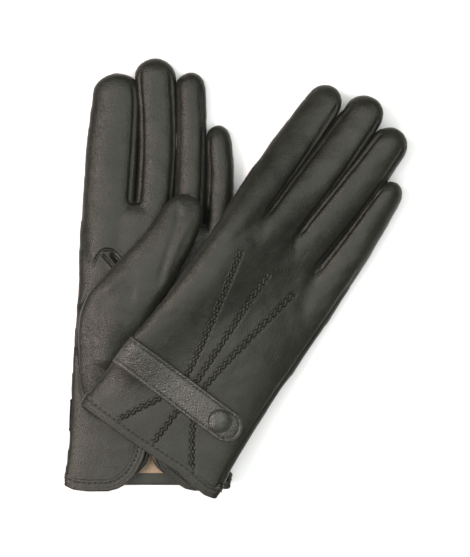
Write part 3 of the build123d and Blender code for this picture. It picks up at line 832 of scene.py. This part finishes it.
def make_lining(glove):
    """Knitted lining inside the hand and fingers."""
    form = base_form(glove, shrink=2.6, voxel=1.9)
    co, normal, faces = mesh_arrays(form)
    rib = 0.12 * np.sin(co[:, 0] * 2 * pi / 1.6) * ease((60 - co[:, 1]) / 10)
    co = co + normal * rib[:, None]
    centre = face_centres(co, faces)
    keep = centre[:, 1] > 7.5
    keep &= ~(in_vent(centre[:, 0], centre[:, 1]) & (centre[:, 2] < -1.0))
    placed = place(glove, co)
    lining = piece_from_faces(glove.side + "_lining_knit", placed,
                              [f[::-1] for f in faces], np.zeros(len(co)), keep)
    finish_piece(lining, glove.body, "knitted_lining", knit, glove.side + "_lining")


# ---------------------------------------------------------------- rows of points and bar tack
POINT_PERIOD = 4.1
POINT_WAVE = 0.62
# A row's section: distance across, height and darkness. The darkness is painted shade in the
# grooves on both sides of the ridge, deeper on one side as if the light came from the other.
POINT_PROFILE = [(-2.5, -0.5, 0.0), (-2.1, -0.12, 0.0), (-1.7, -0.05, 0.0), (-1.35, -0.1, 0.0),
                 (-1.15, -0.35, 0.6), (-0.95, -0.35, 0.6), (-0.75, 0.1, 0.0), (-0.4, 0.45, 0.0),
                 (0.0, 0.5, 0.0), (0.35, 0.4, 0.0), (0.65, 0.0, 0.0), (0.85, -0.6, 1.0),
                 (1.25, -0.6, 1.0), (1.45, -0.12, 0.0), (1.7, -0.05, 0.0), (2.1, -0.12, 0.0),
                 (2.5, -0.5, 0.0)]
POINT_BESIDE = 3.3          # how far beside a row the skin's height is read


def skin_height(glove, x, y, side):
    """Height h of the skin over a plan point, on the back (1) or the palm (-1)."""
    hit = glove.skin.ray_cast((x, y, side * 60.0), (0, 0, -side))[0]
    return hit[2] if hit else side * float(half_thickness(glove, x, y))


def make_points(glove):
    """Three wavy raised rows on the back."""
    vertices, faces, shade = [], [], []
    for row in POINT_ROWS:
        line = smooth_line(row, 0.35)
        step = unit(np.gradient(line, axis=0))
        reached = length_along(line)
        fade = ease(reached / 2.0) * ease((reached[-1] - reached) / 4.0)
        across = np.column_stack([step[:, 1], -step[:, 0]])
        wave = POINT_WAVE * np.sin(2 * pi * reached / POINT_PERIOD)
        wave = wave + 0.18 * np.sin(2 * pi * reached / 11.3)
        beside = [line + across * POINT_BESIDE, line - across * POINT_BESIDE]
        heights = np.mean([[skin_height(glove, px, py, 1) for px, py in side]
                           for side in beside], axis=0) + 0.04
        heights = np.convolve(np.pad(heights, 4, mode="edge"), np.ones(9) / 9, mode="valid")
        offset = len(vertices)
        for i in range(len(line)):
            for b, up, dark in POINT_PROFILE:
                scallop = 1.0 if abs(b) < 1.5 else 0.5 if abs(b) < 1.8 else 0.0
                at = line[i] + across[i] * (wave[i] * scallop + b)
                vertices.append((at[0], at[1], heights[i] + up * fade[i] - 0.3 * (1 - fade[i])))
                shade.append(fade[i] * dark)
        faces += grid_faces(len(line), len(POINT_PROFILE), offset, flip=True)
    rows = new_object(glove.side + "_points", place(glove, np.array(vertices)), faces)
    set_shade(rows, "seam_and_shade", shade)
    finish_piece(rows, glove.body, "glove_leather", leather, glove.side + "_points_ridges")


def make_tack(glove):
    """Bar of close stitches at the peak of the vent."""
    stitches = []
    for i in range(6):
        y = 29.6 + i * 0.42
        h = skin_height(glove, 1.1, y + 2, -1) - 0.3
        stitches.append((np.array([1.1, y, h]), np.array([1.0, 0.08 * (-1) ** i, 0]),
                         np.array([0, 1.0, 0]), np.array([0, 0, -1.0])))
    tack = stitch_object(glove, glove.side + "_tack_stitches", stitches, 1.7, 0.26)
    finish_piece(tack, glove.body, "sewing_thread", thread_material,
                 glove.side + "_vent_bar_tack")


# ---------------------------------------------------------------- thumbs
THUMB_RINGS_PER_ROW = 9
THUMB_LINING_INSET = 1.7
THUMB_LINING_SHORTER = 14       # rings that the lining stops before the thumb's tip
THUMB_CREASES = {
    "left": [
        ([(17.6, 164.5), (18.0, 158.0), (17.4, 150.5), (14.3, 139.7), (10.7, 128.2),
          (7.8, 118.0), (5.0, 108.0)], -1, 2.3, 0.8, 0.0),
        ([(24.6, 158.0), (23.2, 151.0), (18.6, 140.5), (13.4, 129.6), (8.6, 118.0),
          (3.5, 106.0)], -1, 2.6, -0.5, 0.0),
        ([(-24.0, 110.0), (-17.0, 117.4), (-9.0, 125.0)], -1, 3.0, -0.4, 0.0),
        ([(-30.0, 103.0), (-18.0, 109.5), (-4.0, 109.0)], -1, 4.6, 0.55, 0.0),
        ([(-24.0, 66.0), (-22.0, 84.0), (-14.0, 100.0)], -1, 7.0, -0.9, 0.0),
    ],
    "right": [
        ([(-30.0, 110.0), (-20.0, 112.0), (-8.0, 106.0)], -1, 2.4, 0.35, 0.25),
        ([(-22.0, 138.0), (-12.0, 136.0), (-2.0, 132.0)], -1, 2.2, 0.35, 0.2),
    ],
}


def thumb_rings(glove, inset):
    """Cross-sections of the thumb, folded over the palm, from its base to its tip."""
    rows = [(p[0], p[1], q[0], q[1], thick, proud) for p, q, thick, proud in glove.thumb]
    rings = []
    for ax, ay, bx, by, thick, proud in spline(rows, lambda b, c: THUMB_RINGS_PER_ROW):
        width = float(np.hypot(bx - ax, by - ay))
        across = ((bx - ax) / width, (by - ay) / width)
        cx, cy = (ax + bx) / 2, (ay + by) / 2
        palm = float(half_thickness(glove, np.clip(cx, -30.0, 40.0), min(cy, 150.0)))
        half_thick = max(thick / 2 - inset, 0.25)
        h = -(palm + proud - thick / 2)
        rings.append(oval((cx, cy), across, max(width / 2 - inset, 0.3), half_thick, h,
                          count=96, flat=2.2))
    return rings


def make_thumb(glove):
    """The thumb's leather, with its folds, and its lining."""
    vertices, faces = tube(thumb_rings(glove, 0.0))
    form = new_object("thumb_form", vertices, faces)
    co, normal, faces = mesh_arrays(evaluated(form, [("SUBSURF", {"levels": 1})]))
    if normal[:, 2][co[:, 2] < np.percentile(co[:, 2], 10)].mean() > 0:
        normal = -normal
        faces = [f[::-1] for f in faces]
    x, y = co.T[:2]
    lift = 0.42 * soft_noise(co, 47.0, 21) + 0.07 * soft_noise(co, 17.0, 22)
    dark = np.zeros(len(co))
    for line, side, width, depth, lip in THUMB_CREASES[glove.side]:
        moved, seam_and_shade = crease(x, y, normal[:, 2], line, side, width, depth, lip)
        lift += moved
        if width < 0.9:
            dark = np.maximum(dark, seam_and_shade)
    tip = np.array(glove.thumb[-1][0])
    from_tip = np.hypot(x - tip[0], y - tip[1])
    lift += 0.06 * np.sin(from_tip * 2 * pi / 3.1) * np.exp(-from_tip / 5.5)
    co = co + normal * lift[:, None]
    thumb = new_object(glove.side + "_thumb_skin", place(glove, co), faces)
    set_shade(thumb, "seam_and_shade", dark)
    finish_piece(thumb, glove.body, "glove_leather", leather, glove.side + "_thumb")
    vertices, faces = tube(thumb_rings(glove, THUMB_LINING_INSET)[:-THUMB_LINING_SHORTER])
    lining = new_object(glove.side + "_thumb_knit", place(glove, vertices), faces)
    finish_piece(lining, glove.body, "knitted_lining", knit, glove.side + "_thumb_lining")


# ---------------------------------------------------------------- strap and snap
STRAP_HALF = 9.1            # half width
STRAP_REACH = 81.4          # plan length from the index-side fold to the free end
STRAP_ROOT_Y = 40.8
STRAP_SLOPE = radians(-4.0)
STRAP_START = {"left": -1.0, "right": -3.2}     # how far under the index-side fold it starts
STRAP_STEP = 0.55
STITCH_INSET = 2.3          # distance of the strap's stitches from its edge
STITCH_STEP = 2.1
STITCH_START = 5.0
STITCH_HIGH = 2.12
ROOT_HIGH = 0.38
CAP_RADIUS = 6.35
CAP_BASE = 2.35             # height of the cap's foot above the glove
# Height of the strap's top by distance from its edge: a rolled rim, a stitched groove, the face
STRAP_EDGE = [0.0, 0.12, 0.35, 0.7, 1.15, 1.7, 2.15, 2.5, 3.0, 4.2, 9.2]
STRAP_HIGH = [1.42, 1.95, 2.3, 2.52, 2.6, 2.42, 2.12, 2.08, 2.22, 2.36, 2.42]


def strap_line(glove):
    """Angles round the hand and plan y along the strap's middle, against distance."""
    theta = np.linspace(pi + 0.7, 0.35, 900)
    y = np.full(len(theta), STRAP_ROOT_Y)
    for _ in range(2):
        points, _ = hand_point(glove, theta, y, np.full(len(theta), 2.0))
        edge = float(smooth_table(STRAP_ROOT_Y, glove.edge_y, glove.edge))
        y = STRAP_ROOT_Y + np.clip(points[:, 0] - edge, 0, None) * np.tan(STRAP_SLOPE)
    distance = length_along(points)
    at_fold = float(np.interp(-pi, -theta, distance))
    plan = float(points[-1, 0] - edge) / cos(STRAP_SLOPE)
    extra = float(distance[-1]) - at_fold - plan
    return distance - at_fold, theta, y, extra


def strap_points(glove, line, s, b, grow):
    """Points on the strap: s along it, b across it, grow above the hand's surface."""
    distance, theta, y, _ = line
    angle = np.interp(s, distance, theta)
    centre_y = np.interp(s, distance, y)
    flat, _ = hand_point(glove, angle, centre_y + b * cos(STRAP_SLOPE), grow)
    flat[:, 0] -= b * np.sin(STRAP_SLOPE) * np.clip(np.sin(angle), 0, 1)
    return flat


def root_share(s):
    """Share of its full height that the strap has at s: it is sewn down at its root."""
    return ROOT_HIGH + (1 - ROOT_HIGH) * ease((s + 1) / 11)


def strap_grid(inset, start, extra):
    """Stations s and half widths of the strap, closing round its free end."""
    half = STRAP_HALF - inset
    end = STRAP_REACH + extra - inset
    straight = list(np.arange(start, end - half, STRAP_STEP))
    rounded = [end - half + half * sin(a) for a in np.linspace(0, pi / 2 * 0.992, 34)]
    stations = np.array(straight + rounded)
    past = np.clip((stations - (end - half)) / half, 0, 1)
    return stations, half * np.sqrt(1 - past ** 2), half, end


def strap_shell(glove, name, inset, start, top, bottom):
    """Closed strip with given top and bottom heights as functions of s, b and edge distance."""
    line = strap_line(glove)
    stations, widths, half, end = strap_grid(inset, start, line[3])
    spread = np.sin(np.linspace(-pi / 2, pi / 2, 57))
    s = np.repeat(stations, len(spread))
    b = np.concatenate([w * spread for w in widths])
    past = np.clip(s - (end - half), 0, None)
    edge = np.clip(half - np.hypot(past, b), 0, None)
    close = root_share(s)
    upper = strap_points(glove, line, s, b, top(s, b, edge) * close)
    lower = strap_points(glove, line, s, b, bottom(s, b, edge) * close)
    rows, cols = len(stations), len(spread)
    under = rows * cols
    faces = grid_faces(rows, cols) + grid_faces(rows, cols, under, flip=True)
    for i in range(rows - 1):
        for j, flip in ((0, False), (cols - 1, True)):
            a = i * cols + j
            side = (a, under + a, under + a + cols, a + cols)
            faces.append(side[::-1] if flip else side)
    for i, flip in ((0, True), (rows - 1, False)):
        for j in range(cols - 1):
            a = i * cols + j
            side = (a, under + a, under + a + 1, a + 1)
            faces.append(side[::-1] if flip else side)
    thing = new_object(name, place(glove, np.vstack([upper, lower])), faces)
    return thing, line, edge


def make_strap(glove):
    """Strap leather, its backing and its stitches."""

    def strap_top(s, b, edge):
        high = np.interp(edge, STRAP_EDGE, STRAP_HIGH)
        flat = np.column_stack([s, b, np.zeros(len(s))])
        towards_root = 0.12 + 0.88 * ease((58 - s) / 14)
        wrinkled = ease((edge - 0.8) / 1.5) * towards_root * ease((s - 4) / 8)
        high = high + wrinkled * (0.08 * soft_noise(flat * [1, 0.45, 1], 4.6, 31)
                                  + 0.07 * soft_noise(flat * [1, 0.5, 1], 2.0, 32))
        roll = 0.10 * soft_noise(flat, 9.0, 33) * (edge < 2.2)
        return high + roll

    strap, line, edge = strap_shell(glove, glove.side + "_strap_leather", 0.0,
                                    STRAP_START[glove.side],
                                    strap_top, lambda s, b, e: np.full(len(s), 1.36))
    # Painted shade in the stitched groove along the strap's edges.
    groove = 0.8 * np.exp(-((edge - STITCH_INSET) / 0.4) ** 2)
    set_shade(strap, "seam_and_shade", np.concatenate([groove, np.zeros(len(edge))]))
    finish_piece(strap, glove.strap_body, "strap_leather", strap_leather, glove.side + "_strap")
    backing, _, _ = strap_shell(glove, glove.side + "_strap_back_layer", 0.5,
                                STRAP_START[glove.side] + 0.8,
                                lambda s, b, e: np.full(len(s), 1.3),
                                lambda s, b, e: 0.85 - 0.25 * ease(e / 1.5) * (s > 6))
    finish_piece(backing, glove.strap_body, "strap_leather", side_leather,
                 glove.side + "_strap_backing")
    inside = STRAP_HALF - STITCH_INSET
    bend = STRAP_REACH + line[3] - STRAP_HALF
    straight = np.arange(STITCH_START, bend, STITCH_STEP)
    route = [(s, -inside) for s in straight]
    route += [(bend + inside * sin(a), -inside * cos(a)) for a in np.linspace(0, pi, 12)[1:-1]]
    route += [(s, inside) for s in straight[::-1]]
    s = np.array([p[0] for p in route])
    b = np.array([p[1] for p in route])
    high = STITCH_HIGH * root_share(s)
    here = strap_points(glove, line, s, b, high)
    above = strap_points(glove, line, s, b, high + 1)
    along_it = unit(np.gradient(here, axis=0))
    up = above - here
    stitches = [(here[i], along_it[i], np.cross(up[i], along_it[i]), up[i])
                for i in range(len(s))]
    thread = stitch_object(glove, glove.side + "_strap_stitches", stitches, 0.72, 0.2)
    finish_piece(thread, glove.strap_body, "sewing_thread", thread_material)


def make_cap(glove):
    """Leather-covered cap of the snap, lapped over a metal shell."""
    rings = []
    rim = CAP_RADIUS + 0.35
    profile = [(rim - 0.5, -0.1), (rim - 0.05, 0.02), (rim + 0.05, 0.25)]
    profile += [(rim * cos(a), 0.35 + 2.15 * sin(a)) for a in np.linspace(0.1, 1.45, 20)]
    count = 96
    angle = np.arange(count) * 2 * pi / count
    for r, up in profile:
        pucker = 0.05 * np.sin(angle * 13 + 1) + 0.04 * np.sin(angle * 7)
        pucker = pucker * float(np.exp(-((r - 5.6) / 0.8) ** 2))
        dent = 0.07 * np.sin(angle * 2 + 0.7) * (1 - r / CAP_RADIUS)
        x = SNAP[0] + r * np.cos(angle)
        y = SNAP[1] + r * np.sin(angle)
        h = half_thickness(glove, x, y) + CAP_BASE + up + pucker + dent
        rings.append(np.column_stack([x, y, h]))
    vertices, faces = tube(rings)
    cap = new_object(glove.side + "_cap_leather", place(glove, vertices), faces)
    finish_piece(cap, glove.strap_body, "strap_leather", cap_leather, glove.side + "_snap_cap")


# ---------------------------------------------------------------- materials
# Near-black colour mixed in by the vertex darkening attribute: dark seams, and painted shade in
# creases, grooves and gaps.
SEAM_AND_SHADE_COLOUR = (0.003, 0.003, 0.002, 1.0)
SPECULAR_TINT = (1.0, 0.99, 0.93, 1.0)
LEATHER_SHEEN_TINT = (1.0, 0.82, 0.80, 1.0)
KNIT_SHEEN_TINT = (0.9, 0.75, 0.6, 1.0)
WEAR_AND_HIGHLIGHT_GAIN = (1.7, 1.6, 1.6)         # how much lighter and pinker the colour is on high edges: wear and painted highlight
GRAIN_DEPTH = 0.00024
RUMPLE_DEPTH = 0.00030
CRINKLE_DEPTH = 0.00045


def new_material(name):
    """New material, with its nodes, links and surface shader."""
    material = bpy.data.materials.new(name)
    material.use_nodes = True
    nodes = material.node_tree.nodes
    return material, nodes, material.node_tree.links, nodes["Principled BSDF"]


def node(nodes, kind, **settings):
    """New shader node; each setting is one of its properties or one of its inputs."""
    made = nodes.new("ShaderNode" + kind)
    for key, value in settings.items():
        if hasattr(made, key):
            setattr(made, key, value)
        else:
            made.inputs[key].default_value = value
    return made


def texture(nodes, links, kind, **settings):
    """New texture node laid out in the object's own coordinates."""
    made = node(nodes, kind, **settings)
    place_on = nodes.get("Texture Coordinate") or nodes.new("ShaderNodeTexCoord")
    links.new(place_on.outputs["Object"], made.inputs["Vector"])
    return made


def graded(nodes, links, value, stops):
    """Colour output of a ramp with stops (position, colour), driven by a value."""
    made = nodes.new("ShaderNodeValToRGB")
    elements = made.color_ramp.elements
    for element, (position, colour) in zip(elements, stops):
        element.position = position
        element.color = (*colour, 1.0)
    links.new(value, made.inputs["Fac"])
    return made.outputs["Color"]


def spread_out(nodes, links, value, low, high):
    """Value output running from low to high as the given value runs from 0 to 1."""
    made = nodes.new("ShaderNodeMapRange")
    made.inputs["To Min"].default_value = low
    made.inputs["To Max"].default_value = high
    links.new(value, made.inputs["Value"])
    return made.outputs["Result"]


def mixed(nodes, links, factor, first, second, blend="MIX"):
    """Mixed colour; each of the three is an output of another node or a constant."""
    made = nodes.new("ShaderNodeMix")
    made.data_type = "RGBA"
    made.blend_type = blend
    for socket, given in (("Factor", factor), ("A", first), ("B", second)):
        if isinstance(given, bpy.types.NodeSocket):
            links.new(given, made.inputs[socket])
        else:
            made.inputs[socket].default_value = given
    return made.outputs["Result"]


def bump(nodes, links, height, strength, distance, under=None):
    """Normal output of a bump from a height, on top of another bump if one is given."""
    made = node(nodes, "Bump", Strength=strength, Distance=distance)
    links.new(height, made.inputs["Height"])
    if under:
        links.new(under, made.inputs["Normal"])
    return made.outputs["Normal"]


def make_leather(name, low, high, roughness, grain_size, crinkle, shine=0.26):
    """Satin nappa leather: mottled dye, dark seams with painted shade, edges lighter from wear and
    painted highlight, fine pores and, if asked, deep crinkles.
    """
    material, nodes, links, shader = new_material(name)
    mottle = texture(nodes, links, "TexNoise", Scale=46.0, Detail=5.0, Roughness=0.62)
    dye = graded(nodes, links, mottle.outputs["Fac"], [(0.32, low), (0.7, high)])
    fine = texture(nodes, links, "TexNoise", Scale=420.0, Detail=4.0, Roughness=0.6)
    speck = graded(nodes, links, fine.outputs["Fac"],
                   [(0.35, (0.80, 0.80, 0.80)), (0.62, (1.0, 1.0, 1.0))])
    tinted = mixed(nodes, links, 0.8, dye, speck, blend="MULTIPLY")
    # High, convex edges are lightened and tinted pink: wear, and painted highlight where such edges
    # catch the light.
    geometry = nodes.new("ShaderNodeNewGeometry")
    edge = graded(nodes, links, geometry.outputs["Pointiness"],
                  [(0.52, (0.0, 0.0, 0.0)), (0.60, (0.35, 0.35, 0.35))])
    wear_and_highlight_colour = [part * gain for part, gain in zip(high, WEAR_AND_HIGHLIGHT_GAIN)]
    wear_and_highlight = mixed(nodes, links, edge, tinted, (*wear_and_highlight_colour, 1.0))
    seam_and_shade = node(nodes, "Attribute", attribute_name="seam_and_shade")
    seamed = mixed(nodes, links, seam_and_shade.outputs["Fac"], wear_and_highlight, SEAM_AND_SHADE_COLOUR)
    links.new(seamed, shader.inputs["Base Color"])
    gloss = spread_out(nodes, links, fine.outputs["Fac"], roughness - 0.05, roughness + 0.09)
    links.new(gloss, shader.inputs["Roughness"])
    rumple = texture(nodes, links, "TexNoise", Scale=170.0, Detail=5.0, Roughness=0.55)
    surface = bump(nodes, links, rumple.outputs["Fac"], 0.5, RUMPLE_DEPTH)
    cells = texture(nodes, links, "TexVoronoi", feature="DISTANCE_TO_EDGE", Scale=1 / grain_size)
    surface = bump(nodes, links, cells.outputs["Distance"], 0.8, GRAIN_DEPTH, surface)
    if crinkle:
        folds = texture(nodes, links, "TexVoronoi", feature="DISTANCE_TO_EDGE", Scale=640.0)
        surface = bump(nodes, links, folds.outputs["Distance"], crinkle, CRINKLE_DEPTH, surface)
    links.new(surface, shader.inputs["Normal"])
    shader.inputs["Specular IOR Level"].default_value = shine
    shader.inputs["Specular Tint"].default_value = SPECULAR_TINT
    shader.inputs["Sheen Weight"].default_value = 0.03
    shader.inputs["Sheen Roughness"].default_value = 0.45
    shader.inputs["Sheen Tint"].default_value = LEATHER_SHEEN_TINT
    return material


def make_knit(name):
    """Brushed tan knit: fine ribs under a fuzzy nap."""
    material, nodes, links, shader = new_material(name)
    nap = texture(nodes, links, "TexNoise", Scale=900.0, Detail=6.0, Roughness=0.7)
    patch = texture(nodes, links, "TexNoise", Scale=120.0, Detail=3.0)
    patch_share = node(nodes, "Math", operation="MULTIPLY")
    patch_share.inputs[1].default_value = 0.45
    links.new(patch.outputs["Fac"], patch_share.inputs[0])
    total = node(nodes, "Math", operation="MULTIPLY_ADD")
    total.inputs[1].default_value = 0.6
    links.new(nap.outputs["Fac"], total.inputs[0])
    links.new(patch_share.outputs["Value"], total.inputs[2])
    tone = graded(nodes, links, total.outputs["Value"],
                  [(0.3, (0.14, 0.102, 0.064)), (0.72, (0.32, 0.245, 0.165))])
    links.new(tone, shader.inputs["Base Color"])
    ribs = texture(nodes, links, "TexWave", Scale=210.0, Distortion=2.0)
    surface = bump(nodes, links, ribs.outputs["Fac"], 0.6, 0.0002)
    surface = bump(nodes, links, nap.outputs["Fac"], 0.8, 0.0002, surface)
    links.new(surface, shader.inputs["Normal"])
    shader.inputs["Roughness"].default_value = 0.95
    shader.inputs["Sheen Weight"].default_value = 0.4
    shader.inputs["Sheen Tint"].default_value = KNIT_SHEEN_TINT
    return material


def make_thread(name):
    """Waxed twisted thread."""
    material, nodes, links, shader = new_material(name)
    twist = texture(nodes, links, "TexWave", bands_direction="DIAGONAL", Scale=520.0)
    tone = graded(nodes, links, twist.outputs["Fac"],
                  [(0.2, (0.003, 0.003, 0.003)), (0.9, (0.012, 0.011, 0.010))])
    links.new(tone, shader.inputs["Base Color"])
    surface = bump(nodes, links, twist.outputs["Fac"], 0.6, 0.0001)
    links.new(surface, shader.inputs["Normal"])
    shader.inputs["Roughness"].default_value = 0.55
    return material


def make_brass(name):
    """Old brass plate, stained, so it is duller in places."""
    material, nodes, links, shader = new_material(name)
    stain = texture(nodes, links, "TexNoise", Scale=300.0, Detail=5.0)
    tone = graded(nodes, links, stain.outputs["Fac"],
                  [(0.35, (0.34, 0.26, 0.15)), (0.65, (0.60, 0.49, 0.30))])
    links.new(tone, shader.inputs["Base Color"])
    gloss = spread_out(nodes, links, stain.outputs["Fac"], 0.22, 0.5)
    links.new(gloss, shader.inputs["Roughness"])
    shader.inputs["Metallic"].default_value = 1.0
    return material


leather = make_leather("glove_leather", (0.006, 0.007, 0.005), (0.014, 0.0155, 0.011), 0.34,
                       0.0011, 0.0)
side_leather = make_leather("fourchette_leather", (0.005, 0.006, 0.0045), (0.011, 0.012, 0.009),
                            0.34, 0.0011, 0.0)
# The strap's leather has a lighter base than the glove's: painted sheen, a lit copy of the same
# leather, besides its higher shine.
strap_leather = make_leather("strap_leather", (0.016, 0.0165, 0.014), (0.032, 0.033, 0.027), 0.31,
                             0.0010, 0.9, 0.44)
cap_leather = make_leather("cap_leather", (0.016, 0.018, 0.017), (0.028, 0.030, 0.027), 0.22,
                           0.0010, 0.2, 0.36)
knit = make_knit("tan_knit")
thread_material = make_thread("waxed_thread")
brass = make_brass("old_brass")

for glove, creases in ((left, LEFT_CREASES), (right, RIGHT_CREASES)):
    make_skin(glove, creases)
    make_lining(glove)
    make_hem(glove)
    make_points(glove)
    make_tack(glove)
    make_thumb(glove)
    make_strap(glove)
    make_cap(glove)
    for name in ("snap_stud", "snap_socket"):
        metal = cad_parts[glove.side + "_" + name]
        metal.data.materials.clear()
        metal.data.materials.append(brass)


# ---------------------------------------------------------------- floor, lights and camera
FLOOR_HALF = 3.0
WORLD_STRENGTH = 0.25
LENS = 158.0
CAMERA_AT = (-0.00085, -0.0015, 1.4)        # straight above the pair


def make_floor():
    """Plain pale table top."""
    material, nodes, links, shader = new_material("pale_floor")
    grain = texture(nodes, links, "TexNoise", Scale=30.0, Detail=3.0)
    tone = graded(nodes, links, grain.outputs["Fac"],
                  [(0.3, (0.86, 0.86, 0.86)), (0.7, (0.90, 0.90, 0.90))])
    links.new(tone, shader.inputs["Base Color"])
    shader.inputs["Roughness"].default_value = 0.8
    corners = [(-1, -1), (1, -1), (1, 1), (-1, 1)]
    floor = new_object("floor", [(x * FLOOR_HALF, y * FLOOR_HALF, 0) for x, y in corners],
                       [(0, 1, 2, 3)], smooth=False)
    floor.data.materials.append(material)


def area_light(name, place_at, aim, size, energy, colour):
    """Round studio light, turned towards a point."""
    data = bpy.data.lights.new(name, "AREA")
    data.shape = "DISK"
    data.size = size
    data.energy = energy
    data.color = colour
    thing = add_object(name, data)
    thing.location = place_at
    direction = Vector(aim) - Vector(place_at)
    thing.rotation_euler = direction.to_track_quat("-Z", "Y").to_euler()


make_floor()
area_light("key", (-0.72, 0.36, 1.1), (-0.02, 0, 0), 0.5, 9.0, (1.0, 0.86, 0.84))
area_light("side", (-0.84, -0.36, 0.98), (-0.02, -0.03, 0), 0.5, 14.0, (1.0, 0.84, 0.82))
area_light("fill", (0.26, 0.04, 1.6), (0, 0, 0), 1.95, 33.0, (0.98, 1.0, 0.97))
world = bpy.data.worlds.new("studio")
world.use_nodes = True
world.node_tree.nodes["Background"].inputs["Color"].default_value = (1.0, 1.0, 1.0, 1.0)
world.node_tree.nodes["Background"].inputs["Strength"].default_value = WORLD_STRENGTH
bpy.context.scene.world = world
bpy.context.scene.view_settings.view_transform = "Standard"

camera_data = bpy.data.cameras.new("camera")
camera_data.lens = LENS
camera = add_object("camera", camera_data)
camera.location = CAMERA_AT
bpy.context.scene.camera = camera
